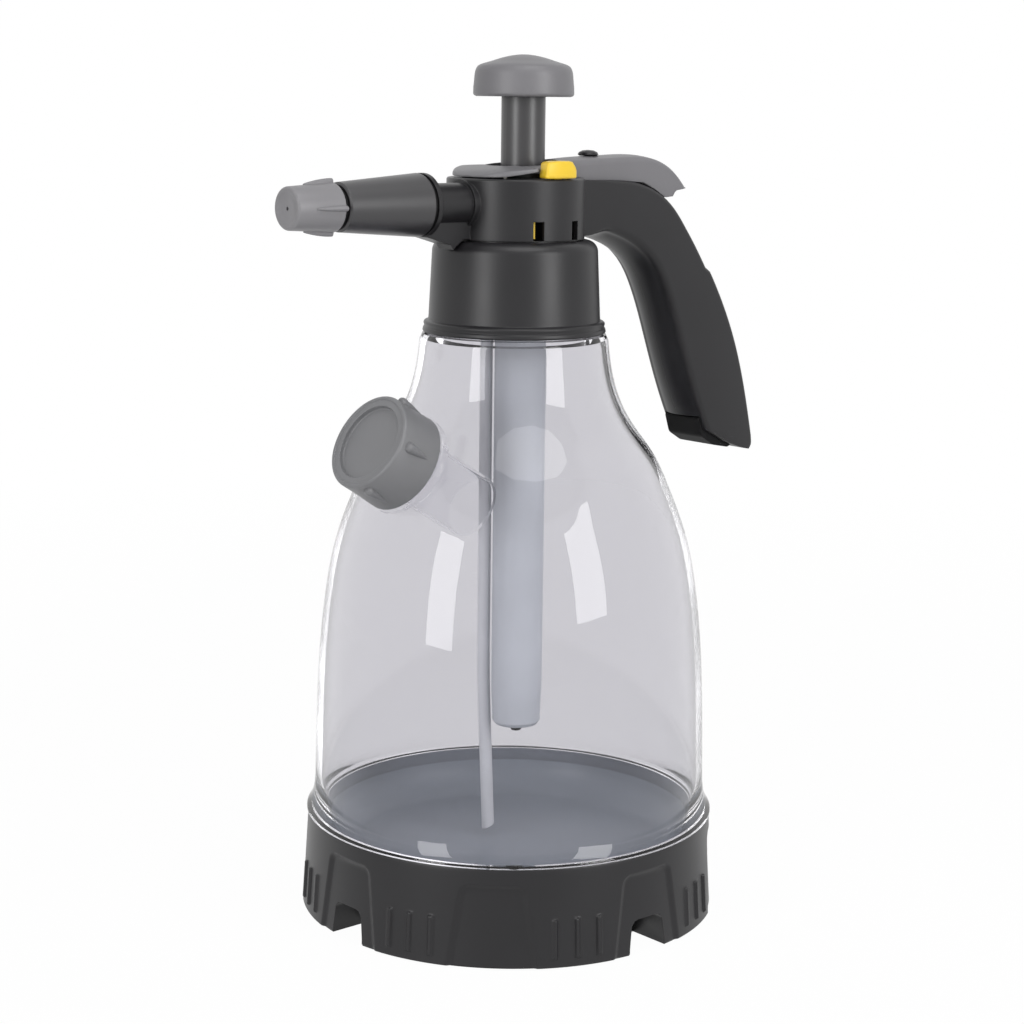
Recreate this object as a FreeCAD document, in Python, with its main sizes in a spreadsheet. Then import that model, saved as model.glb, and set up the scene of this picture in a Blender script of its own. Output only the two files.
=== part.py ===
import FreeCAD, Part
import math
import os
import Sketcher
from FreeCAD import Placement, Rotation, Vector

# Hand-pumped pressure sprayer, 2 litre class.
# Millimetres. The origin is on the bottle's axis in the plane of the base's foot, +Z is up,
# +X is the way the nozzle sprays, and the handle is on the -X side.

doc = FreeCAD.newDocument("pump_sprayer")

# ---------------------------------------------------------------- driving dimensions

SIZES = {
    # base skirt
    "skirt_tall": 33.4,
    "skirt_wall": 2.6,
    "skirt_flare": 2.2,
    "skirt_ledge": 2.4,
    "floor_rise": 13.5,
    "floor_thick": 2.5,
    "foot_flange_wide": 6.5,
    "foot_flange_thick": 1.4,
    "notch_rise": 11.4,
    "notch_foot_half": 8.2,
    "notch_top_half": 4.0,
    "panel_count": 8,
    "panel_drop": 5.4,
    "panel_foot_half": 15.1,
    "panel_top_half": 11.0,
    "panel_corner": 3.5,
    "panel_depth": 0.9,
    "panel_bevel": 0.9,
    "rib_low": 3.0,
    "rib_high": 16.5,
    "rib_wide": 1.7,
    "rib_proud": 0.8,
    "rib_step": 6.1,
    # bottle
    "bottle_wall": 2.2,
    "seam_drop": 21.5,
    "bottle_fit": 1.1,
    "bottle_foot_corner": 13.5,
    "bottle_lip_proud": 0.5,
    "belly_radius": 67.9,
    "belly_rise": 11.1,
    "body_tall": 164.2,
    "throat_tall": 26.4,
    "mouth_radius": 26.5,
    "shoulder_ledge": 5.6,
    # filler neck and cap
    "filler_rise": 125.8,
    "filler_tilt": 31.0,
    "filler_neck_radius": 13.6,
    "filler_neck_wall": 2.2,
    "filler_neck_length": 12.0,
    "filler_flange_wide": 3.7,
    "filler_cap_wall": 3.0,
    "filler_cap_length": 16.9,
    "filler_cap_crown": 2.3,
    "filler_grip_count": 5,
    "filler_grip_turn": 24.0,
    "filler_tube_length": 34.2,
    "filler_tube_wall": 1.2,
    "thread_gap": 0.4,
    # collar nut
    "nut_wall": 3.0,
    "nut_bead_wide": 1.8,
    "nut_taper": 1.1,
    "nut_lip": 2.8,
    "nut_bead": 3.6,
    "nut_corner": 3.9,
    "gasket_thick": 1.4,
    # pump head
    "flange_thick": 2.6,
    "flange_ledge": 4.1,
    "head_overhang": 1.3,
    "head_height": 20.1,
    "head_wall": 1.7,
    "head_top_thick": 2.0,
    "well_wall": 1.7,
    "slot_wide": 3.75,
    "slot_tall": 6.2,
    # nozzle
    "stub_radius": 6.9,
    "stub_boss_wide": 1.0,
    "stub_reach": 17.9,
    "bell_wide": 3.4,
    "barrel_tip_radius": 7.9,
    "barrel_length": 32.4,
    "barrel_gap": 1.0,
    "spigot_radius": 6.0,
    "spigot_length": 7.5,
    "tip_spigot_radius": 5.0,
    "cap_gap": 1.7,
    "cap_foot_radius": 7.8,
    "cap_tip_radius": 6.5,
    "cap_length": 17.6,
    "cap_hole": 0.6,
    "lance_radius": 2.9,
    # pump
    "pump_offset": 3.0,
    "cylinder_radius": 8.8,
    "cylinder_wall": 0.9,
    "cylinder_flange": 2.1,
    "cylinder_sink": 6.1,
    "cylinder_length": 183.5,
    "rod_gap": 0.5,
    "piston_rise": 30.0,
    "knob_rise": 26.6,
    "knob_radius": 17.2,
    "knob_tall": 13.8,
    "running_fit": 0.05,
    # lever
    "pivot_setback": 9.3,
    "pivot_rise": 0.9,
    "pin_radius": 1.0,
    "lever_inset": 2.6,
    "lever_ring_wide": 2.3,
    "lever_plate": 1.9,
    "lever_skirt": 1.6,
    # lock
    "lock_proud": 0.6,
    "lock_tall": 5.7,
    # spray valve and relief valve
    "valve_bore": 3.4,
    "relief_bore": 3.0,
    "tenon_wall": 2.0,
    "tenon_sink": 6.0,
    "tenon_rise": 2.7,
    "tenon_tail": 5.7,
    "screw_rise": 7.5,
    # handle
    "handle_half_width": 10.5,
    "handle_wall": 1.9,
    "handle_edge_round": 1.8,
    "handle_gap": 0.2,
    "lever_side_gap": 0.4,
    # dip tube
    "dip_gap": 0.96,
    "dip_radius": 2.2,
    "dip_wall": 0.7,
    "dip_clear": 4.8,
}

sheet = doc.addObject("Spreadsheet::Sheet", "Dims")
for row, (word, number) in enumerate(SIZES.items(), 1):
    sheet.set("A%d" % row, word)
    sheet.set("B%d" % row, str(number))
    sheet.setAlias("B%d" % row, word)
doc.recompute()


class Size:
    """A length worked out from the sheet: its value now, and the expression that keeps it bound."""

    def __init__(self, value, text):
        self.value = value
        self.text = text

    def _join(self, sign, other, value, turned=False):
        text = other.text if isinstance(other, Size) else repr(float(other))
        first, second = (text, self.text) if turned else (self.text, text)
        return Size(value, "(%s %s %s)" % (first, sign, second))

    def __add__(self, other):
        return self._join("+", other, self.value + number_of(other))

    def __radd__(self, other):
        return self._join("+", other, number_of(other) + self.value, True)

    def __sub__(self, other):
        return self._join("-", other, self.value - number_of(other))

    def __rsub__(self, other):
        return self._join("-", other, number_of(other) - self.value, True)

    def __mul__(self, other):
        return self._join("*", other, self.value * number_of(other))

    __rmul__ = __mul__

    def __truediv__(self, other):
        return self._join("/", other, self.value / number_of(other))

    def __neg__(self):
        return Size(-self.value, "(0 - %s)" % self.text)


def number_of(length):
    return length.value if isinstance(length, Size) else float(length)


class Dimensions:
    """The sheet's cells by name, each as a Size."""

    def __getattr__(self, word):
        return Size(float(sheet.get(word)), "Dims." + word)


dim = Dimensions()


def bind(thing, path, length):
    """Ties a property or a constraint to the sheet."""
    if isinstance(length, Size):
        thing.setExpression(path, length.text)


# ---------------------------------------------------------------- modelling helpers

nodes = []


def keep(thing, label):
    """Marks an object as a finished sub-part of that name."""
    thing.Label = label
    nodes.append(thing)
    return thing


def new_body(name):
    return doc.addObject("PartDesign::Body", name + "_body")


def base_plane(body, role):
    return next(item for item in body.Origin.OriginFeatures if item.Role == role)


def empty_sketch(body, role, at=(0, 0, 0), turn=0.0):
    """A sketch on one of the body's planes, shifted in its own frame and turned about its normal."""
    sketch = body.newObject("Sketcher::SketchObject", "sketch")
    sketch.AttachmentSupport = [(base_plane(body, role), "")]
    sketch.MapMode = "FlatFace"
    place = Vector(*[number_of(value) for value in at])
    sketch.AttachmentOffset = Placement(place, Rotation(Vector(0, 0, 1), turn))
    for axis, value in zip("xyz", at):
        bind(sketch, "AttachmentOffset.Base." + axis, value)
    return sketch


def outline(body, points, role="XZ_Plane", at=(0, 0, 0), turn=0.0):
    """A closed straight-sided sketch whose every corner is dimensioned from the sketch's origin."""
    sketch = empty_sketch(body, role, at, turn)
    count = len(points)
    corners = [Vector(number_of(across), number_of(up), 0) for across, up in points]
    lines = [Part.LineSegment(corners[i], corners[(i + 1) % count]) for i in range(count)]
    sketch.addGeometry(lines, False)
    sketch.addConstraint(
        [Sketcher.Constraint("Coincident", i, 2, (i + 1) % count, 1) for i in range(count)]
    )
    for i, (across, up) in enumerate(points):
        for kind, value in (("DistanceX", across), ("DistanceY", up)):
            index = sketch.addConstraint(Sketcher.Constraint(kind, -1, 1, i, 1, number_of(value)))
            bind(sketch, "Constraints[%d]" % index, value)
    return sketch


def round_outline(body, circles, role="XY_Plane", at=(0, 0, 0)):
    """A sketch of circles, each given as across, up and radius."""
    sketch = empty_sketch(body, role, at)
    for i, (across, up, radius) in enumerate(circles):
        centre = Vector(number_of(across), number_of(up), 0)
        sketch.addGeometry(Part.Circle(centre, Vector(0, 0, 1), number_of(radius)), False)
        for kind, value in (("DistanceX", across), ("DistanceY", up)):
            index = sketch.addConstraint(Sketcher.Constraint(kind, -1, 1, i, 3, number_of(value)))
            bind(sketch, "Constraints[%d]" % index, value)
        index = sketch.addConstraint(Sketcher.Constraint("Radius", i, number_of(radius)))
        bind(sketch, "Constraints[%d]" % index, radius)
    return sketch


def feature(body, kind, sketch):
    made = body.newObject("PartDesign::" + kind, kind.lower())
    made.Profile = sketch
    sketch.Visibility = False
    return made


def turn_about(body, sketch, axis="V_Axis", kind="Revolution"):
    """A full turn of a sketch about its own upright or level axis, added or cut."""
    made = feature(body, kind, sketch)
    made.ReferenceAxis = (sketch, [axis])
    made.Angle = 360
    doc.recompute()
    return made


def extrude(body, sketch, length, kind="Pad", middle=False, back=False):
    """A pad or pocket of a sketch. A pocket that removes nothing stops the build."""
    before = body.Shape.Volume if body.Tip else 0.0
    made = feature(body, kind, sketch)
    made.Type = 0
    made.Length = number_of(length)
    made.Midplane = middle
    made.Reversed = back
    bind(made, "Length", length)
    doc.recompute()
    change = body.Shape.Volume - before
    if (kind == "Pad") != (change > 1e-6):
        raise RuntimeError("%s changes nothing on %s" % (kind, body.Name))
    return made


def round_rims(body, radius, rims):
    """A fillet of the circular edges at the given (radius, height) places of a turned body."""
    wanted = [(number_of(across), number_of(up)) for across, up in rims]
    base = body.Tip
    names = []
    for index, edge in enumerate(base.Shape.Edges, 1):
        if not isinstance(edge.Curve, Part.Circle):
            continue
        centre = edge.Curve.Center
        for across, up in wanted:
            if abs(edge.Curve.Radius - across) < 0.02 and abs(centre.z - up) < 0.02:
                names.append("Edge%d" % index)
    made = body.newObject("PartDesign::Fillet", "fillet")
    made.Base = (base, names)
    made.Radius = number_of(radius)
    bind(made, "Radius", radius)
    doc.recompute()
    return made


def turned(label, points, at=(0, 0, 0), tilt=0.0):
    """A sub-part turned about its own axis. Points are (radius, height) along that axis."""
    body = new_body(label)
    turn_about(body, outline(body, points))
    place(body, at, tilt)
    return keep(body, label)


def place(body, at, tilt=0.0):
    """Sets a body in the assembly. Tilt leans its own axis from +Z towards +X, in degrees."""
    base = Vector(*[number_of(value) for value in at])
    body.Placement = Placement(base, Rotation(Vector(0, 1, 0), tilt))
    for axis, value in zip("xyz", at):
        bind(body, ".Placement.Base." + axis, value)


def ring_points(inner, outer, low, high):
    return [(inner, low), (outer, low), (outer, high), (inner, high)]


def rounded_wire(corners, radii):
    """A closed wire of straight runs whose corners are arcs. A radius of 0 keeps a corner sharp."""
    count = len(corners)
    starts = []
    ends = []
    arcs = []
    for i in range(count):
        corner = corners[i]
        back = (corners[i - 1] - corner).normalize()
        ahead = (corners[(i + 1) % count] - corner).normalize()
        if radii[i] <= 0:
            starts.append(corner)
            ends.append(corner)
            arcs.append(None)
            continue
        half = back.getAngle(ahead) / 2
        run = radii[i] / math.tan(half)
        middle = corner + (back + ahead).normalize() * (radii[i] / math.sin(half) - radii[i])
        starts.append(corner + back * run)
        ends.append(corner + ahead * run)
        arcs.append(Part.Arc(starts[i], middle, ends[i]).toShape())
    edges = []
    for i in range(count):
        if arcs[i]:
            edges.append(arcs[i])
        edges.append(Part.makeLine(ends[i], starts[(i + 1) % count]))
    return Part.Wire(edges)


def spline(points):
    curve = Part.BSplineCurve()
    curve.interpolate(points)
    return curve


def beside(curve, points, distance):
    """The same points moved square to the curve by a distance, to its left in the XZ plane."""
    moved = []
    for point in points:
        along = curve.tangent(curve.parameter(point))[0]
        moved.append(point + Vector(along.z, 0, -along.x).normalize() * (-distance))
    return moved


def solid_feature(label, shape):
    """A sub-part whose shape comes straight from Part's own functions."""
    made = doc.addObject("Part::Feature", label + "_shape")
    made.Shape = shape
    return keep(made, label)


def revolved(wire):
    return Part.Face(wire).revolve(Vector(0, 0, 0), Vector(0, 0, 1), 360)


# ---------------------------------------------------------------- levels and radii shared by many pieces

floor_top = dim.floor_rise + dim.floor_thick
belly_foot = dim.skirt_tall + dim.belly_rise
shoulder_height = dim.skirt_tall + dim.body_tall
mouth_height = shoulder_height + dim.throat_tall
flange_foot = mouth_height + dim.gasket_thick
flange_top = flange_foot + dim.flange_thick
nut_foot = shoulder_height + 2.3
nut_lip_foot = flange_top + 0.2
nut_top = nut_lip_foot + dim.nut_lip
head_foot = nut_top + 0.5
head_top = head_foot + dim.head_height
pivot_height = head_top + dim.pivot_rise
tenon_foot = head_foot + dim.tenon_rise
tenon_top = head_top - dim.tenon_sink
valve_floor = tenon_foot + 1.4
relief_floor = tenon_foot + 1.6
cylinder_seat = head_top - dim.cylinder_sink
cylinder_foot = cylinder_seat - dim.cylinder_length
rod_foot = cylinder_foot + dim.piston_rise
knob_foot = head_top + dim.knob_rise
screw_height = head_foot + dim.screw_rise
filler_height = dim.skirt_tall + dim.filler_rise
bottle_floor = floor_top + dim.bottle_wall

skirt_rim_radius = dim.belly_radius + dim.skirt_ledge
skirt_foot_radius = skirt_rim_radius + dim.skirt_flare
bottle_foot_radius = skirt_rim_radius - dim.skirt_wall - dim.bottle_fit
shoulder_radius = dim.mouth_radius + dim.shoulder_ledge
nut_bore = dim.mouth_radius + dim.thread_gap
nut_radius = dim.mouth_radius + dim.nut_wall
nut_top_radius = nut_radius - dim.nut_taper
nut_foot_radius = nut_radius + dim.nut_bead_wide
flange_radius = dim.mouth_radius - 0.4
neck_radius = flange_radius - dim.flange_ledge
head_radius = neck_radius + dim.head_overhang
guide_radius = dim.cylinder_radius + dim.cylinder_flange
well_wall_radius = dim.pump_offset + guide_radius + dim.well_wall
rod_radius = dim.cylinder_radius - dim.cylinder_wall - dim.rod_gap
channel_reach = dim.pump_offset + guide_radius + 2.1
lever_hole_radius = guide_radius + 1.6
lever_ring_radius = lever_hole_radius + dim.lever_ring_wide
lever_disc_radius = head_radius - dim.lever_inset
lever_half_width = dim.handle_half_width - dim.handle_wall - dim.lever_side_gap
lock_inner_radius = lever_ring_radius + dim.pump_offset + 0.4
lock_outer_radius = head_radius + dim.lock_proud
lock_neck_radius = head_radius - dim.head_wall - 2.8
pivot_reach = head_radius - dim.pivot_setback
valve_reach = head_radius + dim.valve_bore - 0.9
relief_reach = valve_reach + dim.valve_bore + dim.relief_bore + 0.6
tenon_end = relief_reach + dim.relief_bore + dim.tenon_tail
tenon_half = dim.valve_bore + dim.tenon_wall
screw_reach = relief_reach + dim.relief_bore + 3.0
stub_length = head_radius + dim.stub_reach
barrel_foot_radius = dim.stub_radius + dim.bell_wide
stub_bore = dim.lance_radius + 0.3
stub_boss_radius = dim.stub_radius + dim.stub_boss_wide
nozzle_level = head_top - stub_boss_radius - 0.4
dip_spacing = dim.cylinder_radius + dim.dip_radius + dim.dip_gap
dip_reach = dip_spacing * 0.585 - dim.pump_offset
dip_side = dip_spacing * 0.811
filler_bore_radius = dim.filler_neck_radius - dim.filler_neck_wall
filler_flange_radius = dim.filler_neck_radius + dim.filler_flange_wide
filler_cap_radius = dim.filler_neck_radius + dim.thread_gap + dim.filler_cap_wall


# ---------------------------------------------------------------- base skirt

def panel_cutter():
    """One recess of the skirt: a rounded trapezoid, bevelled inwards, that follows the skirt's cone."""
    foot = skirt_foot_radius.value
    rim = skirt_rim_radius.value
    tall = dim.skirt_tall.value
    depth = dim.panel_depth.value
    outer = 3.0
    cone = Part.makePolygon(
        [
            Vector(foot - depth, 0, 0),
            Vector(foot + outer, 0, 0),
            Vector(rim + outer, 0, tall),
            Vector(rim - depth, 0, tall),
            Vector(foot - depth, 0, 0),
        ]
    )
    band = revolved(cone)
    wires = []
    for reach, grow in ((foot - 4.0, -3.0), (foot + outer + 1.0, outer + 2.0)):
        spread = dim.panel_bevel.value * grow
        low = -2.0
        foot_half = dim.panel_foot_half.value + spread
        top_half = dim.panel_top_half.value + spread
        high = tall - dim.panel_drop.value + spread
        corners = [
            Vector(reach, -foot_half, low),
            Vector(reach, foot_half, low),
            Vector(reach, top_half, high),
            Vector(reach, -top_half, high),
        ]
        round_by = dim.panel_corner.value + max(spread, -2.0)
        wires.append(rounded_wire(corners, [0, 0, round_by, round_by]))
    wedge = Part.makeLoft(wires, True, True)
    return band.common(wedge)


def make_base_skirt():
    body = new_body("base_skirt")
    lean = (skirt_foot_radius - skirt_rim_radius) / dim.skirt_tall
    foot_inner = skirt_foot_radius - dim.skirt_wall
    rim_inner = skirt_rim_radius - dim.skirt_wall
    turn_about(
        body,
        outline(
            body,
            [
                (0, dim.floor_rise),
                (foot_inner - lean * dim.floor_rise, dim.floor_rise),
                (foot_inner, 0),
                (skirt_foot_radius, 0),
                (skirt_rim_radius, dim.skirt_tall),
                (rim_inner, dim.skirt_tall),
                (foot_inner - lean * floor_top, floor_top),
                (0, floor_top),
            ],
        ),
    )
    round_rims(body, 0.7, [(skirt_foot_radius, 0), (skirt_rim_radius, dim.skirt_tall)])
    reach = skirt_foot_radius * 2 + 8
    for role in ("YZ_Plane", "XZ_Plane"):
        notch = outline(
            body,
            [
                (-dim.notch_foot_half, -1),
                (dim.notch_foot_half, -1),
                (dim.notch_top_half, dim.notch_rise),
                (-dim.notch_top_half, dim.notch_rise),
            ],
            role,
        )
        extrude(body, notch, reach, "Pocket", middle=True)
    flange = outline(
        body,
        ring_points(
            foot_inner - dim.foot_flange_wide,
            foot_inner + 0.4,
            0,
            dim.foot_flange_thick,
        ),
    )
    turn_about(body, flange)
    ribs = []
    for step in (-1, 0, 1):
        turn = 180 / dim.panel_count.value + step * dim.rib_step.value
        rib = outline(
            body,
            [
                (skirt_rim_radius - 0.5, -dim.rib_wide / 2),
                (skirt_foot_radius - 0.7 + dim.rib_proud, -dim.rib_wide / 2),
                (skirt_foot_radius - 0.7 + dim.rib_proud, dim.rib_wide / 2),
                (skirt_rim_radius - 0.5, dim.rib_wide / 2),
            ],
            "XY_Plane",
            (0, 0, dim.rib_low),
            turn,
        )
        ribs.append(extrude(body, rib, dim.rib_high - dim.rib_low))
    pattern = body.newObject("PartDesign::PolarPattern", "ribs")
    pattern.Originals = ribs
    pattern.Axis = (base_plane(body, "Z_Axis"), [""])
    pattern.Angle = 360
    pattern.Occurrences = int(dim.panel_count.value)
    pattern.setExpression("Occurrences", "Dims.panel_count")
    body.Tip = pattern
    doc.recompute()

    cutters = doc.addObject("Part::Feature", "panel_cutters")
    count = int(dim.panel_count.value)
    cutter = panel_cutter()
    turned_cutters = []
    for i in range(count):
        copy = cutter.copy()
        copy.rotate(Vector(0, 0, 0), Vector(0, 0, 1), 360.0 * i / count)
        turned_cutters.append(copy)
    cutters.Shape = Part.makeCompound(turned_cutters)
    cut = doc.addObject("Part::Cut", "base_skirt_cut")
    cut.Base = body
    cut.Tool = cutters
    doc.recompute()
    return keep(cut, "base_skirt")


# ---------------------------------------------------------------- bottle

# How the bottle narrows: (share of the height from belly to shoulder, share of the radius lost there)
BOTTLE_FORM = (
    (0.0, 0.0),
    (0.104, 0.011),
    (0.319, 0.054),
    (0.427, 0.105),
    (0.513, 0.168),
    (0.599, 0.274),
    (0.671, 0.397),
    (0.743, 0.542),
    (0.8145, 0.763),
    (0.886, 0.911),
    (0.950, 0.975),
    (1.0, 1.0),
)


def bottle_side():
    """The bottle's outer side from belly to shoulder, as a curve in the XZ plane."""
    rise = (shoulder_height - belly_foot).value
    lost = (dim.belly_radius - shoulder_radius).value
    points = []
    for up, inward in BOTTLE_FORM:
        points.append(Vector(dim.belly_radius.value - lost * inward, 0, belly_foot.value + rise * up))
    return points, spline(points)


def radius_at(curve, height):
    """How far out an upright curve is at a height."""
    low, high = curve.FirstParameter, curve.LastParameter
    for _ in range(40):
        middle = (low + high) / 2
        if curve.value(middle).z < height:
            low = middle
        else:
            high = middle
    return curve.value(low).x


# the filler sits where the bottle's side is at its height, so its reach is worked out and kept too
row = len(SIZES) + 1
sheet.set("A%d" % row, "filler_reach")
sheet.set("B%d" % row, str(round(radius_at(bottle_side()[1], filler_height.value), 4)))
sheet.setAlias("B%d" % row, "filler_reach")
doc.recompute()


def filler_placement():
    return Placement(
        Vector(dim.filler_reach.value, 0, filler_height.value),
        Rotation(Vector(0, 1, 0), 90 - dim.filler_tilt.value),
    )


def filler_cylinder(radius, low, high):
    """A round solid along the filler's axis. Heights are counted from the back of the cap."""
    shape = Part.makeCylinder(radius, high - low, Vector(0, 0, low))
    shape.Placement = filler_placement()
    return shape


def make_bottle():
    wall = dim.bottle_wall.value
    rim = dim.skirt_tall.value
    points, side = bottle_side()
    foot_z = floor_top.value
    foot_r = bottle_foot_radius.value
    corner = min(dim.bottle_foot_corner.value, rim - foot_z - 1.0)
    lip_r = skirt_rim_radius.value + dim.bottle_lip_proud.value
    mouth_r = dim.mouth_radius.value
    mouth_z = mouth_height.value
    shoulder_r = shoulder_radius.value
    shoulder_z = shoulder_height.value
    half = math.sqrt(0.5)

    def foot_arc(radius, height, bend):
        centre = Vector(radius - bend, 0, height + bend)
        low = Vector(radius - bend, 0, height)
        middle = centre + Vector(bend * half, 0, -bend * half)
        high = Vector(radius, 0, height + bend)
        return low, Part.Arc(low, middle, high).toShape(), high

    low, arc, high = foot_arc(foot_r, foot_z, corner)
    lip = spline(
        [
            Vector(lip_r, 0, rim + 0.8),
            Vector(lip_r - 1.3, 0, rim + 3.1),
            Vector(lip_r - 2.3, 0, rim + 6.3),
            points[0],
        ]
    )
    outer = [
        Part.makeLine(Vector(0, 0, foot_z), low),
        arc,
        Part.makeLine(high, Vector(foot_r, 0, rim)),
        Part.makeLine(Vector(foot_r, 0, rim), Vector(lip_r, 0, rim)),
        Part.makeLine(Vector(lip_r, 0, rim), Vector(lip_r, 0, rim + 0.8)),
        lip.toShape(),
        side.toShape(),
        Part.makeLine(points[-1], Vector(shoulder_r - 0.9, 0, shoulder_z + 1.7)),
        Part.makeLine(Vector(shoulder_r - 0.9, 0, shoulder_z + 1.7), Vector(mouth_r, 0, shoulder_z + 1.7)),
        Part.makeLine(Vector(mouth_r, 0, shoulder_z + 1.7), Vector(mouth_r, 0, mouth_z)),
        Part.makeLine(Vector(mouth_r, 0, mouth_z), Vector(0, 0, mouth_z)),
        Part.makeLine(Vector(0, 0, mouth_z), Vector(0, 0, foot_z)),
    ]
    blank = revolved(Part.Wire(outer))

    inner_points = beside(side, points[:-1], wall)
    inner_side = spline(inner_points)
    low, arc, high = foot_arc(foot_r - wall, foot_z + wall, corner - wall)
    bore = mouth_r - wall
    throat = Vector(bore, 0, shoulder_z + 1.7 - wall)
    inner = [
        Part.makeLine(Vector(0, 0, foot_z + wall), low),
        arc,
        Part.makeLine(high, inner_points[0]),
        inner_side.toShape(),
        Part.makeLine(inner_points[-1], throat),
        Part.makeLine(throat, Vector(bore, 0, mouth_z + 1)),
        Part.makeLine(Vector(bore, 0, mouth_z + 1), Vector(0, 0, mouth_z + 1)),
        Part.makeLine(Vector(0, 0, mouth_z + 1), Vector(0, 0, foot_z + wall)),
    ]
    hollow = revolved(Part.Wire(inner))

    neck = filler_cylinder(dim.filler_neck_radius.value, -9.0, dim.filler_neck_length.value)
    flange = filler_cylinder(filler_flange_radius.value, -6.5, -0.3)
    bore_cut = filler_cylinder(filler_bore_radius.value, -15.0, dim.filler_neck_length.value + 1)
    shape = blank.fuse([neck, flange]).cut(hollow).cut(bore_cut).removeSplitter()
    # one moulding, kept as two pieces that meet at a level plane below the filler
    seam = filler_height.value - dim.seam_drop.value
    span = 4 * dim.belly_radius.value
    lower = Part.makeBox(span, span, seam, Vector(-span / 2, -span / 2, 0))
    solid_feature("bottle", shape.common(lower))
    solid_feature("bottle_shoulder", shape.cut(lower))


# ---------------------------------------------------------------- filler tube, gasket and cap

def make_filler():
    seat = (dim.filler_reach, 0, filler_height)
    lean = 90 - dim.filler_tilt.value
    neck = dim.filler_neck_length
    tube_outer = filler_bore_radius - 0.2
    tube_inner = tube_outer - dim.filler_tube_wall
    turned(
        "filler_tube",
        [
            (tube_inner, -dim.filler_tube_length),
            (tube_outer, -dim.filler_tube_length),
            (tube_outer, neck),
            (dim.filler_neck_radius, neck),
            (dim.filler_neck_radius, neck + 1.1),
            (tube_inner, neck + 1.1),
        ],
        seat,
        lean,
    )
    cavity_top = dim.filler_cap_length - dim.filler_cap_crown
    turned(
        "filler_gasket",
        ring_points(tube_inner - 1, dim.filler_neck_radius - 0.2, neck + 1.1, cavity_top),
        seat,
        lean,
    )
    body = new_body("filler_cap")
    radius = filler_cap_radius
    length = dim.filler_cap_length
    turn_about(
        body,
        outline(
            body,
            [
                (dim.filler_neck_radius + dim.thread_gap, 0),
                (radius, 0),
                (radius - 0.7, length - 1.0),
                (radius - 1.8, length),
                (radius - 3.6, length),
                (radius - 4.1, length - 0.8),
                (0, length - 0.8),
                (0, cavity_top),
                (dim.filler_neck_radius + dim.thread_gap, cavity_top),
            ],
        ),
    )
    # a grip is a teardrop: blunt near the front, running out to a point at the back
    grip = outline(
        body,
        [
            (1.8, -0.4),
            (length - 5.2, -1.7),
            (length - 3.4, -1.1),
            (length - 2.9, 0),
            (length - 3.4, 1.1),
            (length - 5.2, 1.7),
            (1.8, 0.4),
        ],
        "YZ_Plane",
        (0, 0, radius - 1.2),
        90,
    )
    made = extrude(body, grip, 1.7)
    pattern = body.newObject("PartDesign::PolarPattern", "grips")
    pattern.Originals = [made]
    pattern.Axis = (base_plane(body, "Z_Axis"), [""])
    pattern.Angle = 360
    pattern.Occurrences = int(dim.filler_grip_count.value)
    pattern.setExpression("Occurrences", "Dims.filler_grip_count")
    body.Tip = pattern
    doc.recompute()
    place(body, seat, lean)
    # the closed cap stops with its grips at this bearing round its own axis
    body.Placement = body.Placement.multiply(
        Placement(Vector(), Rotation(Vector(0, 0, 1), dim.filler_grip_turn.value))
    )
    keep(body, "filler_cap")


# ---------------------------------------------------------------- collar nut and its gasket

def make_collar():
    body = new_body("collar_nut")
    bore = nut_bore
    bead_top = nut_foot + dim.nut_bead
    turn_about(
        body,
        outline(
            body,
            [
                (bore, nut_foot),
                (nut_foot_radius, nut_foot),
                (nut_foot_radius, bead_top),
                (nut_radius, bead_top + 0.6),
                (nut_radius, bead_top + 1.6),
                (nut_top_radius, nut_top),
                (neck_radius + dim.thread_gap, nut_top),
                (neck_radius + dim.thread_gap, nut_lip_foot),
                (bore, nut_lip_foot),
            ],
        ),
    )
    round_rims(body, dim.nut_corner, [(nut_top_radius, nut_top)])
    round_rims(body, 0.8, [(nut_foot_radius, nut_foot), (nut_foot_radius, bead_top)])
    keep(body, "collar_nut")
    turned(
        "collar_gasket",
        ring_points(dim.mouth_radius - 4.5, dim.mouth_radius - 0.2, mouth_height, flange_foot),
    )


# ---------------------------------------------------------------- pump head

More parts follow.
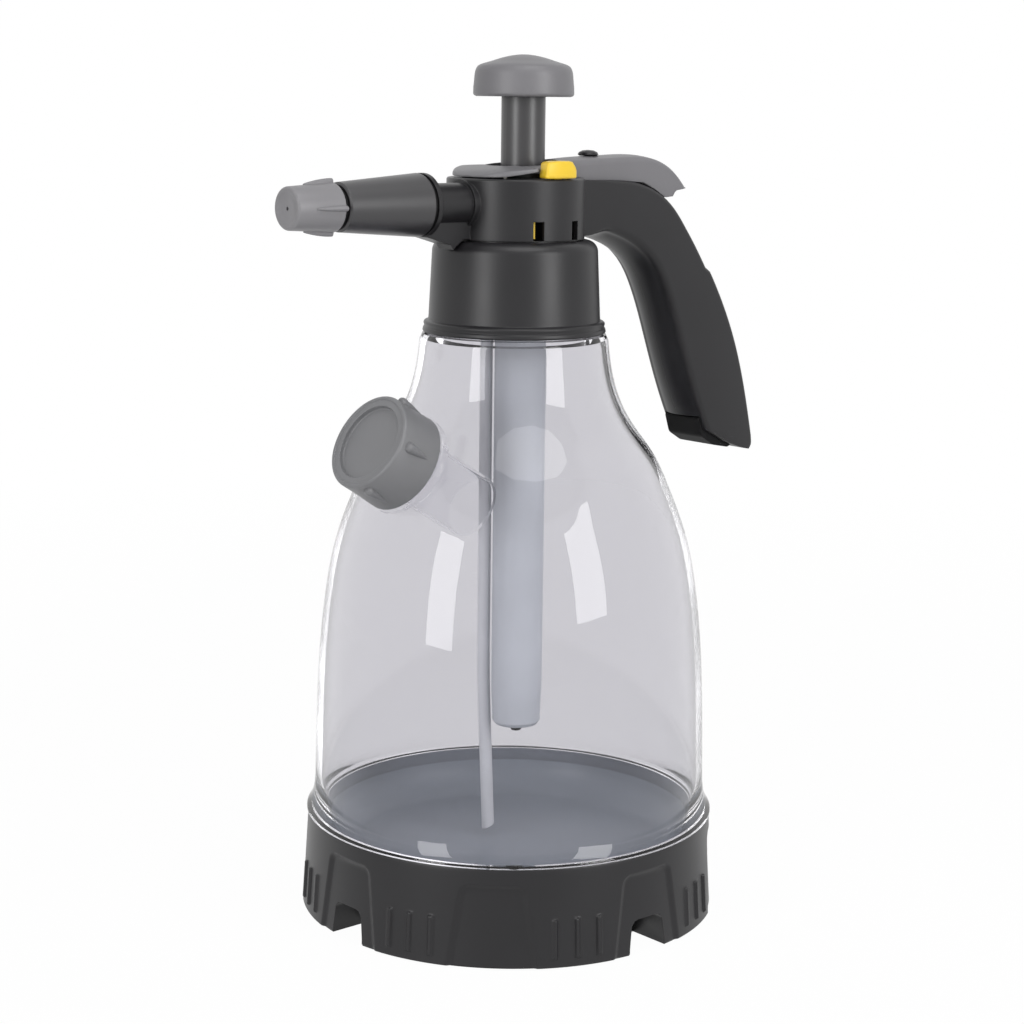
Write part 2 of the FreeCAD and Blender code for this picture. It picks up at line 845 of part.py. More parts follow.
def make_head():
    body = new_body("pump_head")
    turn_about(
        body,
        outline(
            body,
            [
                (0, flange_foot),
                (flange_radius, flange_foot),
                (flange_radius, flange_top),
                (neck_radius, flange_top),
                (neck_radius, head_foot),
                (head_radius, head_foot),
                (head_radius, head_top),
                (0, head_top),
            ],
        ),
    )
    round_rims(body, 0.8, [(head_radius, head_top)])

    # nozzle stub with its boss and bell, turned about the nozzle's level axis
    bell = stub_length - 1.6
    stub = outline(
        body,
        [
            (19, 0),
            (19, stub_boss_radius),
            (head_radius + 0.9, stub_boss_radius),
            (head_radius + 0.9, dim.stub_radius),
            (bell - 2.8, dim.stub_radius),
            (bell, barrel_foot_radius),
            (stub_length, barrel_foot_radius),
            (stub_length, dim.spigot_radius),
            (stub_length + dim.spigot_length, dim.spigot_radius),
            (stub_length + dim.spigot_length, 0),
        ],
        "XZ_Plane",
        (0, nozzle_level, 0),
    )
    turn_about(body, stub, "H_Axis")
    gusset = outline(
        body,
        [
            (head_radius - 1.2, nozzle_level - 5.5),
            (stub_length - 0.3, nozzle_level - 5.5),
            (stub_length - 0.3, nozzle_level - barrel_foot_radius),
            (nut_foot_radius - 0.2, head_foot - 1.3),
            (nut_foot_radius - 1.3, head_foot - 2.9),
            (nut_top_radius + 0.6, head_foot - 1.9),
            (head_radius + 2.3, head_foot + 0.4),
            (head_radius - 1.2, head_foot + 0.4),
        ],
    )
    extrude(body, gusset, 7.6, middle=True)

    # rear tenon that carries both valves and the handle
    tenon = outline(
        body,
        [
            (-tenon_end, tenon_foot),
            (-head_radius + 2.0, tenon_foot),
            (-head_radius + 2.0, tenon_top),
            (-tenon_end, tenon_top),
        ],
    )
    extrude(body, tenon, tenon_half * 2, middle=True)

    # hollow between the well and the outer wall
    roof = head_top - dim.head_top_thick
    hollow = outline(
        body,
        ring_points(well_wall_radius, head_radius - dim.head_wall, head_foot - 0.5, roof),
    )
    turn_about(body, hollow, kind="Groove")

    # channel in the top in which the lever's tail moves
    channel = outline(
        body,
        [
            (-head_radius - 1, -lever_half_width - 0.6),
            (-channel_reach, -lever_half_width - 0.6),
            (-channel_reach, lever_half_width + 0.6),
            (-head_radius - 1, lever_half_width + 0.6),
        ],
        "XY_Plane",
        (0, 0, head_top + 1),
    )
    extrude(body, channel, head_top + 1 - tenon_top - 1.2, "Pocket")

    # socket of the dip tube
    socket = round_outline(
        body, [(dip_reach, -dip_side, dim.dip_radius + 1.4)], at=(0, 0, flange_foot - 9)
    )
    extrude(body, socket, 9.0 + 1.0)
    dip = round_outline(
        body, [(dip_reach, -dip_side, dim.dip_radius + 0.05)], at=(0, 0, flange_foot - 10)
    )
    extrude(body, dip, 12.0, "Pocket", back=True)

    # well for the pump cylinder and its guide nut
    well = round_outline(body, [(-dim.pump_offset, 0, dim.cylinder_radius + 0.1)], at=(0, 0, head_top + 1))
    extrude(body, well, head_top + 12 - flange_foot, "Pocket")
    seat = round_outline(body, [(-dim.pump_offset, 0, guide_radius + 0.2)], at=(0, 0, head_top + 1))
    extrude(body, seat, head_top + 1 - cylinder_seat, "Pocket")

    # bores for the spray valve and the relief valve
    for reach, radius, floor in (
        (valve_reach, dim.valve_bore, valve_floor),
        (relief_reach, dim.relief_bore, relief_floor),
    ):
        bore = round_outline(body, [(-reach, 0, radius)], at=(0, 0, tenon_top + 6))
        extrude(body, bore, tenon_top + 6 - floor, "Pocket")

    cross = round_outline(body, [(-screw_reach, screw_height, 1.25)], "XZ_Plane")
    extrude(body, cross, tenon_half * 2 + 4, "Pocket", middle=True)

    # bore of the nozzle stub
    duct = round_outline(body, [(0, nozzle_level, stub_bore)], "YZ_Plane", (0, 0, 17))
    extrude(body, duct, stub_length + dim.spigot_length - 16, "Pocket", back=True)

    # two slots low in each side of the outer wall
    for turn in (68.3, 107.0, -68.3, -107.0):
        slot = outline(
            body,
            [
                (head_radius - dim.head_wall - 1.5, -dim.slot_wide / 2),
                (head_radius + 1, -dim.slot_wide / 2),
                (head_radius + 1, dim.slot_wide / 2),
                (head_radius - dim.head_wall - 1.5, dim.slot_wide / 2),
            ],
            "XY_Plane",
            (0, 0, head_foot + 0.2),
            turn,
        )
        extrude(body, slot, dim.slot_tall, "Pocket", back=True)

    # arc-shaped slot in the top for the lock's neck
    window = empty_sketch(body, "XY_Plane", (0, 0, head_top + 1))
    low = lock_neck_radius.value - 0.3
    high = low + 2.6
    first, last = math.radians(80), math.radians(114)
    spots = []
    for radius in (low, high):
        for angle in (first, (first + last) / 2, last):
            spots.append(Vector(radius * math.cos(angle), radius * math.sin(angle), 0))
    window.addGeometry(Part.Arc(spots[0], spots[1], spots[2]), False)
    window.addGeometry(Part.LineSegment(spots[2], spots[5]), False)
    window.addGeometry(Part.Arc(spots[5], spots[4], spots[3]), False)
    window.addGeometry(Part.LineSegment(spots[3], spots[0]), False)
    extrude(body, window, dim.head_top_thick + 2, "Pocket")

    # ears for the lever's pin
    for side in (-1, 1):
        ear = outline(
            body,
            [
                (pivot_reach - 1.8, head_top - 0.5),
                (pivot_reach + 1.8, head_top - 0.5),
                (pivot_reach + 1.8, head_top + 1.7),
                (pivot_reach + 0.9, head_top + 2.5),
                (pivot_reach - 0.9, head_top + 2.5),
                (pivot_reach - 1.8, head_top + 1.7),
            ],
            "XZ_Plane",
            (0, 0, side * 6.2),
        )
        extrude(body, ear, 2.4, middle=True)
    pin_hole = round_outline(
        body, [(pivot_reach, pivot_height, dim.pin_radius + dim.running_fit)], "XZ_Plane"
    )
    extrude(body, pin_hole, 22.0, "Pocket", middle=True)
    return keep(body, "pump_head")


# ---------------------------------------------------------------- nozzle

def make_nozzle():
    axis = (0, 0, nozzle_level)
    start = stub_length + dim.barrel_gap
    tip = start + dim.barrel_length
    cap_foot = tip + dim.cap_gap
    cap_tip = cap_foot + dim.cap_length
    seal_rim = barrel_foot_radius - 0.7
    turned(
        "barrel_seal",
        ring_points(dim.spigot_radius + 0.1, seal_rim, stub_length, start),
        axis,
        90,
    )
    body = new_body("nozzle_barrel")
    turn_about(
        body,
        outline(
            body,
            [
                (dim.spigot_radius + 0.1, start),
                (barrel_foot_radius - 0.3, start),
                (barrel_foot_radius, start + 0.4),
                (dim.barrel_tip_radius, tip - 0.6),
                (dim.barrel_tip_radius - 0.7, tip),
                (dim.tip_spigot_radius, tip),
                (dim.tip_spigot_radius, tip + 8.0),
                (dim.tip_spigot_radius - 1.1, tip + 9.0),
                (dim.lance_radius + 0.1, tip + 9.0),
                (dim.lance_radius + 0.1, start + dim.spigot_length + 1.2),
                (dim.spigot_radius + 0.1, start + dim.spigot_length + 1.2),
            ],
        ),
    )
    place(body, axis, 90)
    keep(body, "nozzle_barrel")
    ring = dim.tip_spigot_radius + 0.1
    turned("nozzle_oring", ring_points(ring, ring + 1.4, tip, tip + 1.5), axis, 90)
    turned(
        "lance_tube",
        ring_points(1.6, dim.lance_radius, head_radius - dim.head_wall + 0.4, tip + 8.4),
        axis,
        90,
    )
    turned(
        "swirl_core",
        [
            (0, tip + 8.5),
            (dim.lance_radius, tip + 8.5),
            (dim.lance_radius, tip + 9.0),
            (3.8, tip + 9.0),
            (3.8, tip + 11.0),
            (1.8, tip + 14.4),
            (0, tip + 14.4),
        ],
        axis,
        90,
    )
    cap = new_body("nozzle_cap")
    turn_about(
        cap,
        outline(
            cap,
            [
                (6.8, cap_foot),
                (dim.cap_foot_radius, cap_foot),
                (dim.cap_tip_radius + 0.3, cap_tip - 1.1),
                (dim.cap_tip_radius - 0.5, cap_tip - 0.1),
                (dim.cap_tip_radius - 1.1, cap_tip),
                (dim.cap_tip_radius - 1.6, cap_tip - 0.3),
                (dim.cap_hole, cap_tip - 0.3),
                (dim.cap_hole, cap_tip - 2.0),
                (dim.tip_spigot_radius + 0.3, cap_tip - 2.0),
                (dim.tip_spigot_radius + 0.3, cap_foot + 1.6),
                (6.8, cap_foot + 1.6),
            ],
        ),
    )
    fins = []
    fin = outline(
        cap,
        [
            (dim.cap_foot_radius - 1.4, cap_foot),
            (dim.cap_foot_radius + 1.5, cap_foot - 0.6),
            (dim.cap_foot_radius + 1.7, cap_foot + 0.6),
            (dim.cap_tip_radius + 0.5, cap_foot + 10.0),
            (dim.cap_tip_radius - 0.6, cap_foot + 10.0),
        ],
    )
    fins.append(extrude(cap, fin, 1.9, middle=True))
    pattern = cap.newObject("PartDesign::PolarPattern", "fins")
    pattern.Originals = fins
    pattern.Axis = (base_plane(cap, "Z_Axis"), [""])
    pattern.Angle = 360
    pattern.Occurrences = 4
    cap.Tip = pattern
    doc.recompute()
    place(cap, axis, 90)
    keep(cap, "nozzle_cap")


# ---------------------------------------------------------------- pump: cylinder, guide, rod, piston

def make_pump():
    axis = (-dim.pump_offset, 0, 0)
    outer = dim.cylinder_radius
    inner = outer - dim.cylinder_wall
    foot = cylinder_foot
    seat = cylinder_seat
    flange = guide_radius
    turned(
        "pump_cylinder",
        [
            (3.0, foot),
            (outer - 1.4, foot),
            (outer - 0.5, foot + 1.2),
            (outer, foot + 14),
            (outer, seat),
            (flange, seat),
            (flange, seat + 1.8),
            (inner, seat + 1.8),
            (inner, foot + 2.2),
            (3.0, foot + 2.2),
        ],
        axis,
    )
    turned("cylinder_seal", ring_points(inner + 0.4, flange - 0.1, seat + 1.8, seat + 3.0), axis)
    bore = rod_radius + dim.running_fit
    guide = new_body("guide_nut")
    turn_about(
        guide,
        outline(
            guide,
            [
                (bore, seat + 3.0),
                (flange, seat + 3.0),
                (flange, head_top),
                (flange + 0.9, head_top),
                (flange + 0.9, head_top + 1.6),
                (bore + 0.6, head_top + 1.6),
                (bore, head_top + 1.0),
                (bore, seat + 5.3),
                (bore + 1.3, seat + 5.3),
                (bore + 1.3, seat + 4.0),
                (bore, seat + 4.0),
            ],
        ),
    )
    place(guide, axis)
    keep(guide, "guide_nut")
    turned("rod_wiper", ring_points(bore, bore + 1.3, seat + 4.0, seat + 5.3), axis)
    turned(
        "inlet_valve",
        [
            (0, foot - 2.6),
            (1.6, foot - 2.6),
            (2.8, foot - 0.6),
            (2.8, foot + 2.4),
            (5.6, foot + 2.4),
            (5.6, foot + 3.1),
            (0, foot + 3.6),
        ],
        axis,
    )
    rod = rod_radius
    turned(
        "pump_rod",
        [
            (0, rod_foot),
            (rod, rod_foot),
            (rod, knob_foot),
            (rod - 1.4, knob_foot),
            (rod - 1.4, knob_foot + 8.5),
            (0, knob_foot + 8.5),
        ],
        axis,
    )
    piston = inner - 0.3
    turned(
        "piston",
        [
            (0, rod_foot - 8.6),
            (piston, rod_foot - 8.6),
            (piston, rod_foot - 6.9),
            (piston - 1.5, rod_foot - 6.9),
            (piston - 1.5, rod_foot - 4.1),
            (piston, rod_foot - 4.1),
            (piston, rod_foot - 2.6),
            (4.2, rod_foot - 2.6),
            (4.2, rod_foot),
            (0, rod_foot),
        ],
        axis,
    )
    turned(
        "piston_seal",
        ring_points(piston - 1.5, inner - dim.running_fit, rod_foot - 6.9, rod_foot - 4.1),
        axis,
    )
    knob = new_body("pump_knob")
    radius = dim.knob_radius
    tall = dim.knob_tall
    turn_about(
        knob,
        outline(
            knob,
            [
                (rod - 1.3, knob_foot),
                (radius, knob_foot),
                (radius + 0.1, knob_foot + 1.6),
                (radius - 0.6, knob_foot + tall - 4.0),
                (radius - 2.2, knob_foot + tall - 2.9),
                (radius * 0.5, knob_foot + tall - 0.9),
                (radius * 0.2, knob_foot + tall),
                (0, knob_foot + tall),
                (0, knob_foot + 8.6),
                (rod - 1.3, knob_foot + 8.6),
            ],
        ),
    )
    place(knob, axis)
    keep(knob, "pump_knob")


# ---------------------------------------------------------------- dip tube

def make_dip_tube():
    """Straight from the head, bending a little towards the middle, with a slanted end."""
    foot_level = (bottle_floor + dim.dip_clear).value
    top = Vector(dip_reach.value, -dip_side.value, flange_foot.value)
    bend = Vector(top.x, top.y, foot_level + 55.0)
    foot = Vector(top.x - 1.6, top.y + 1.6, foot_level - 3.0)
    down = (foot - bend).normalize()
    run = 12.0
    start = bend + Vector(0, 0, run)
    end = bend + down * run
    middle_way = (Vector(0, 0, 1) + down).normalize()
    half = Vector(0, 0, 1).getAngle(down) / 2
    radius = run * math.tan(half)
    middle = bend + middle_way * (radius / math.sin(half) - radius)
    path = Part.Wire(
        [Part.makeLine(top, start), Part.Arc(start, middle, end).toShape(), Part.makeLine(end, foot)]
    )
    shapes = []
    for size in (dim.dip_radius.value, dim.dip_radius.value - dim.dip_wall.value):
        circle = Part.Wire(Part.makeCircle(size, top, Vector(0, 0, -1)))
        shapes.append(path.makePipeShell([circle], True, False))
    tube = shapes[0].cut(shapes[1])
    knife = Part.makeBox(20, 20, 12, Vector(-10, -10, -12))
    knife.Placement = Placement(
        Vector(foot.x, foot.y, foot_level), Rotation(Vector(0.6, 1, 0), 32)
    )
    return solid_feature("dip_tube", tube.cut(knife))


# ---------------------------------------------------------------- spray valve, relief valve, feed pipe

def make_valves():
    top = tenon_top
    bore = dim.valve_bore
    stem_top = head_top + 4.2
    axis = (-valve_reach, 0, 0)
    turned(
        "valve_body",
        [
            (0, valve_floor),
            (bore - 0.05, valve_floor),
            (bore - 0.05, top + 1.0),
            (1.35, top + 1.0),
            (1.35, top - 2.6),
            (bore - 0.9, top - 2.6),
            (bore - 0.9, valve_floor + 0.8),
            (0, valve_floor + 0.8),
        ],
        axis,
    )
    turned(
        "valve_stem",
        [
            (0, top - 5.0),
            (2.2, top - 5.0),
            (2.2, top - 3.6),
            (1.25, top - 3.6),
            (1.25, stem_top - 0.6),
            (0.8, stem_top),
            (0, stem_top),
        ],
        axis,
    )
    turned("valve_seal", ring_points(1.25, 2.3, top - 3.6, top - 2.7), axis)
    turned("valve_spring", spring_points(1.5, 0.4, valve_floor + 0.8, top - 5.0), axis)

    axis = (-relief_reach, 0, 0)
    bore = dim.relief_bore
    seat = relief_floor + 1.6
    turned(
        "relief_gland",
        ring_points(1.45, bore - 0.05, top - 1.8, top + 0.6),
        axis,
    )
    turned(
        "relief_stem",
        [
            (0, seat),
            (bore - 0.7, seat),
            (bore - 0.7, seat + 1.3),
            (1.3, seat + 1.3),
            (1.3, top + 13.5),
            (0, top + 13.5),
        ],
        axis,
    )
    turned("relief_seal", ring_points(0.0, bore - 0.4, relief_floor + 0.2, seat), axis)
    turned("relief_spring", spring_points(1.9, 0.4, seat + 1.3, top - 1.8), axis)
    button = new_body("relief_button")
    turn_about(
        button,
        outline(
            button,
            [
                (1.3, top + 12.9),
                (3.0, top + 12.9),
                (3.6, top + 13.3),
                (3.2, top + 14.1),
                (2.0, top + 14.7),
                (0, top + 14.9),
                (0, top + 13.5),
                (1.3, top + 13.5),
            ],
        ),
    )
    place(button, axis)
    keep(button, "relief_button")

    # feed pipe round the well, from the valve's side to the nozzle stub
    wall = head_radius.value - dim.head_wall.value
    radius = (well_wall_radius.value + wall) / 2
    level = nozzle_level.value
    shapes = []
    for size, reach in ((2.1, wall - 0.25), (1.3, wall + 1)):
        ring = Part.makeTorus(radius, size, Vector(0, 0, level), Vector(0, 0, 1), 0, 360, 180)
        ring.rotate(Vector(0, 0, level), Vector(0, 0, 1), 180)
        parts = []
        for side in (-1, 1):
            parts.append(Part.makeSphere(size, Vector(side * radius, 0, level)))
            run = Part.makeCylinder(size, reach - radius, Vector(side * radius, 0, level),
                                    Vector(side, 0, 0))
            parts.append(run)
        shapes.append(ring.fuse(parts))
    solid_feature("feed_pipe", shapes[0].cut(shapes[1]).removeSplitter())


def spring_points(radius, wire, low, high):
    """Closed coils drawn as a row of beads, one on the next, as many as the space takes."""
    turns = int((high - low).value / (wire * 2))
    points = [(radius - wire, low)]
    for i in range(turns):
        points.append((radius, low + wire * 2 * i + wire * 0.4))
        points.append((radius + wire, low + wire * 2 * i + wire))
        points.append((radius, low + wire * 2 * i + wire * 1.6))
    points.append((radius - wire, low + wire * 2 * turns))
    return points


# ---------------------------------------------------------------- lever, pin and lock

# the lock's thumb tab: its first bearing from +X and its span, in degrees
LOCK_START = 73
LOCK_SPAN = 35


def behind_head(back, up):
    """A point in the middle plane: how far behind the head's wall, and how far above the head's top."""
    return Vector(-head_radius.value - back, 0, head_top.value + up)


def make_lever():
    """Thumb lever: a disc over the head, a ring round the guide nut and a skirted tail."""
    pump = Vector(-dim.pump_offset.value, 0, 0)
    half = lever_half_width.value
    base = head_top.value - 7.0
    disc = Part.makeCylinder(lever_disc_radius.value, 20, Vector(0, 0, base))
    lock_side = lock_outer_radius.value * math.cos(math.radians(LOCK_START))
    front = Part.makeBox(60, 120, 20, Vector(lock_side, -60, base))
    ring = Part.makeCylinder(lever_ring_radius.value, 20, pump + Vector(0, 0, base))
    tail = Part.makeBox(65, half * 2, 45, Vector(-head_radius.value - 51.7, -half, base - 19.6))
    plan = disc.common(front).fuse([ring, tail])

    top = spline(
        [
            Vector(head_radius.value - 1.8, 0, head_top.value + 1.4),
            Vector(head_radius.value - 4.7, 0, head_top.value + 3.2),
            Vector(head_radius.value - 12.3, 0, head_top.value + 4.0),
            Vector(0.0, 0, head_top.value + 4.3),
            behind_head(-11.3, 5.3),
            behind_head(0.7, 6.4),
            behind_head(16.7, 6.9),
            behind_head(27.7, 6.8),
            behind_head(34.2, 5.4),
            behind_head(42.2, 1.2),
            behind_head(48.6, -4.2),
        ]
    )
    step = -channel_reach.value - 0.6
    side_points = [
        behind_head(47.8, -4.9),
        behind_head(44.5, -5.3),
        behind_head(43.1, -7.3),
        behind_head(39.3, -7.6),
        behind_head(33.7, -4.5),
        behind_head(28.8, -2.3),
        behind_head(20.7, -1.7),
        Vector(step, 0, head_top.value - 1.1),
        Vector(step, 0, head_top.value + 2.5),
        Vector(5.0, 0, head_top.value + 2.2),
        Vector(head_radius.value - 6.6, 0, head_top.value + 0.4),
        Vector(head_radius.value - 1.8, 0, head_top.value + 0.4),
    ]
    edges = [top.toShape()]
    last = behind_head(48.6, -4.2)
    for point in side_points + [Vector(head_radius.value - 1.8, 0, head_top.value + 1.4)]:
        edges.append(Part.makeLine(last, point))
        last = point
    side = Part.Face(Part.Wire(edges)).extrude(Vector(0, 60, 0))
    side.translate(Vector(0, -30, 0))
    lever = plan.common(side)
    hole = Part.makeCylinder(lever_hole_radius.value, 40, pump + Vector(0, 0, base - 14.6))
    lever = lever.cut(hole)

    # hollow under the tail
    plate = dim.lever_plate.value
    skirt = dim.lever_skirt.value
    under = spline(beside(top, [
        behind_head(0.7, 6.4),
        behind_head(16.7, 6.9),
        behind_head(27.7, 6.8),
        behind_head(34.2, 5.4),
    ], plate))
    first = under.value(under.FirstParameter)
    end = under.value(under.LastParameter)
    low = head_top.value - 12
    pocket_wire = Part.Wire(
        [
            under.toShape(),
            Part.makeLine(end, Vector(end.x - 4, 0, end.z - 5)),
            Part.makeLine(Vector(end.x - 4, 0, end.z - 5), Vector(end.x - 4, 0, low)),
            Part.makeLine(Vector(end.x - 4, 0, low), Vector(first.x + 4, 0, low)),
            Part.makeLine(Vector(first.x + 4, 0, low), Vector(first.x + 4, 0, first.z - 1.2)),
            Part.makeLine(Vector(first.x + 4, 0, first.z - 1.2), first),
        ]
    )
    pocket = Part.Face(pocket_wire).extrude(Vector(0, (half - skirt) * 2, 0))
    pocket.translate(Vector(0, -(half - skirt), 0))
    lever = lever.cut(pocket)
    stem_hole = Part.makeCylinder(2.5, 40, Vector(-relief_reach.value, 0, base - 14.6))
    lever = lever.cut(stem_hole)

    # room for the head's ears, and clips that snap over the pin
    pivot = Vector(pivot_reach.value, 0, pivot_height.value)
    ears = Part.makeBox(5.2, 17.2, 3.4, Vector(pivot.x - 2.6, -8.6, head_top.value - 0.5))
    lever = lever.cut(ears)
    groove = Part.makeCylinder(
        dim.pin_radius.value + 0.1, 24, pivot + Vector(0, -12, 0), Vector(0, 1, 0)
    )
    lever = lever.cut(groove)
    return solid_feature("lever", lever.removeSplitter())


def make_lever_pin():
    body = new_body("lever_pin")
    pin = round_outline(body, [(pivot_reach, pivot_height, dim.pin_radius)], "XZ_Plane")
    extrude(body, pin, 21.4, middle=True)
    return keep(body, "lever_pin")


def sector(inner, outer, low, high, first, last):
    """Part of a ring about the head's axis, between two bearings in degrees from +X."""
    wire = Part.makePolygon(
        [
            Vector(inner, 0, low),
            Vector(outer, 0, low),
            Vector(outer, 0, high),
            Vector(inner, 0, high),
            Vector(inner, 0, low),
        ]
    )
    shape = Part.Face(wire).revolve(Vector(0, 0, 0), Vector(0, 0, 1), last - first)
    shape.rotate(Vector(0, 0, 0), Vector(0, 0, 1), first)
    return shape


def make_lock():
    """Turning lock: a thumb tab on the head's rim, a neck through the top and a blade inside."""
    inner = lock_inner_radius.value
    outer = lock_outer_radius.value
    foot = head_top.value + 0.3
    top = head_top.value + dim.lock_tall.value + 0.3
    section = rounded_wire(
        [
            Vector(inner, 0, foot),
            Vector(outer, 0, foot),
            Vector(outer - 0.3, 0, top),
            Vector(inner, 0, top),
        ],
        [0, 0.3, 1.6, 0.8],
    )
    tab = Part.Face(section).revolve(Vector(0, 0, 0), Vector(0, 0, 1), LOCK_SPAN)
    tab.rotate(Vector(0, 0, 0), Vector(0, 0, 1), LOCK_START)
    neck_low = head_top.value - 6.0
    back = lock_neck_radius.value
    face = back + 1.8
    neck = sector(back, face, neck_low, foot + 0.5, 86, 96)
    blade = sector(back, face, neck_low - 3.0, neck_low, 58.5, 140)
    leg = sector(back, face, head_foot.value + 0.8, neck_low - 2.0, 58.5, 65.5)
    stop = sector(back, face, neck_low - 0.5, head_top.value - 2.6, 132, 140)
    return solid_feature("lock_tab", tab.fuse([neck, blade, leg, stop]).removeSplitter())


# ---------------------------------------------------------------- handle

def handle_curves():
    """The handle's back and its grip side, as splines in the XZ plane."""
    back = [
        behind_head(-3.3, -0.8),
        behind_head(10.7, -1.1),
        behind_head(20.7, -1.6),
        behind_head(28.7, -3.3),
        behind_head(38.2, -7.7),
        behind_head(49.7, -19.2),
        behind_head(57.9, -31.2),
        behind_head(66.3, -42.0),
        behind_head(74.9, -58.6),
        behind_head(82.1, -80.6),
        behind_head(86.1, -98.6),
    ]
    grip = [
        behind_head(-3.3, -19.6),
        behind_head(12.7, -19.8),
        behind_head(23.5, -22.6),
        behind_head(32.3, -31.0),
        behind_head(39.7, -41.8),
        behind_head(47.3, -58.6),
        behind_head(55.3, -80.0),
        behind_head(59.7, -91.2),
    ]
    return back, grip


def screw_places():
    """One screw through the head's tenon and two down the grip, as points in the middle plane."""
    return (
        Vector(-screw_reach.value, 0, screw_height.value),
        behind_head(49.7, -48.6),
        behind_head(62.7, -74.6),
    )


def prism(edges, width, side):
    """A closed XZ outline drawn out from the middle plane to one side."""
    shape = Part.Face(Part.Wire(edges)).extrude(Vector(0, side * width, 0))
    return shape


def chain(points):
    return [Part.makeLine(points[i], points[i + 1]) for i in range(len(points) - 1)]


def side_face_edges(shape, side_width, inner_end):
    """Edges round one side face, less the short one where the handle meets the head."""
    found = []
    for edge in shape.Edges:
        ends = [vertex.Point for vertex in edge.Vertexes]
        on_side = all(abs(point.y - side_width) < 1e-6 for point in ends)
        at_head = all(abs(point.x - inner_end) < 1e-6 for point in ends)
        if on_side and not at_head:
            found.append(edge)
    return found


def make_handle():
    back, grip = handle_curves()
    back_curve = spline(back)
    grip_curve = spline(grip)
    wall = dim.handle_wall.value
    width = dim.handle_half_width.value
    heel = [back[-1], behind_head(84.3, -100.9), behind_head(77.1, -99.6), behind_head(65.7, -95.6), grip[-1]]
    outer_edges = [back_curve.toShape()] + chain(heel) + [grip_curve.toShape()]
    outer_edges.append(Part.makeLine(grip[0], back[0]))

    back_in = beside(back_curve, back[5:], wall)
    grip_in = beside(grip_curve, grip, -wall)
    back_in_curve = spline(back_in)
    grip_in_curve = spline(grip_in)
    floor = [back_in[-1], behind_head(80.7, -104.6), behind_head(62.2, -104.6), grip_in[-1]]
    mouth = [grip_in[0], behind_head(-7.3, -15.6), behind_head(-7.3, 10.4), behind_head(54.7, 10.4), back_in[0]]
    inner_edges = [back_in_curve.toShape()] + chain(floor) + [grip_in_curve.toShape()] + chain(mouth)
    head = Part.makeCylinder(head_radius.value + dim.handle_gap.value, 60, behind_head(-23.3, -41.6))
    plug_room = Part.makeBox(26, 40, 22, Vector(-99, -20, 143))
    for side, label in ((1, "handle_left"), (-1, "handle_right")):
        shell = prism(outer_edges, width, side)
        side_edges = side_face_edges(shell, side * width, grip[0].x)
        shell = shell.makeFillet(dim.handle_edge_round.value, side_edges)
        hollow = prism(inner_edges, width - wall, side)
        shell = shell.cut(hollow).cut(head)
        # the grip wall stops above the end plug
        gap = Part.makeBox(24, width - wall, 17.5, behind_head(76.7, -104.1))
        if side < 0:
            gap.translate(Vector(0, -(width - wall), 0))
        shell = shell.cut(gap)
        # bosses that clamp the head's tenon, and screw bosses in the grip
        outward = Vector(0, side, 0)
        for number, point in enumerate(screw_places()):
            # the first screw's bosses stop at the tenon, the others meet in the middle
            reach = tenon_half.value + 0.1 if number == 0 else 0.0
            boss = Part.makeCylinder(2.9, width - reach - 0.5, point + outward * reach, outward)
            shell = shell.fuse(boss)
            if side < 0:
                shell = shell.cut(Part.makeCylinder(1.3, width + 1, point, outward))
                sink = point + outward * (width - 1.6)
                shell = shell.cut(Part.makeCylinder(2.4, 3, sink, outward))
            else:
                shell = shell.cut(Part.makeCylinder(1.15, width - 2.5, point, outward))
        solid_feature(label, shell.removeSplitter())


def make_grip_plug():
    """Black plug that closes the handle's lower end between the two halves."""
    width = dim.handle_half_width.value - dim.handle_wall.value - 0.1
    corners = [
        behind_head(58.3, -87.0),
        behind_head(76.1, -87.0),
        behind_head(76.1, -99.8),
        behind_head(66.7, -98.0),
        behind_head(60.7, -94.4),
    ]
    wire = rounded_wire(corners, [1.0, 1.0, 2.0, 6.0, 3.0])
    shape = Part.Face(wire).extrude(Vector(0, width * 2, 0))
    shape.translate(Vector(0, -width, 0))
    return solid_feature("grip_plug", shape)


def make_handle_screws():
    screws = []
    width = dim.handle_half_width.value
    inward = Vector(0, 1, 0)
    for point in screw_places():
        shank = Part.makeCylinder(1.1, width * 2 - 4.4, point - inward * (width - 1.6), inward)
        head = Part.makeCylinder(2.2, 1.3, point - inward * (width - 0.3), inward)
        screws.append(shank.fuse(head).removeSplitter())
    return solid_feature("handle_screws", Part.makeCompound(screws))


# ---------------------------------------------------------------- build, check and write

make_base_skirt()
make_bottle()
make_filler()
make_collar()
make_head()
make_nozzle()
make_pump()
make_dip_tube()
make_valves()
make_lever()
make_lever_pin()
make_lock()
make_handle()
make_grip_plug()
make_handle_screws()
doc.recompute()

for thing in doc.Objects:
    if "Invalid" in thing.State or "Error" in thing.State:
        raise RuntimeError("failed object: " + thing.Label)
os.makedirs("parts", exist_ok=True)
for node in nodes:
    if node.Shape.isNull() or not node.Shape.isValid():
        raise RuntimeError("bad shape: " + node.Label)
for node in nodes:
    node.Shape.exportStep("parts/%s.step" % node.Label)
    solids = node.Shape.Solids
    print("%-16s %d solid(s) %9.0f mm3" % (node.Label, len(solids), node.Shape.Volume))
print(len(nodes), "nodes")
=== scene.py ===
import math

import bmesh
import bpy
from mathutils import Matrix, Vector


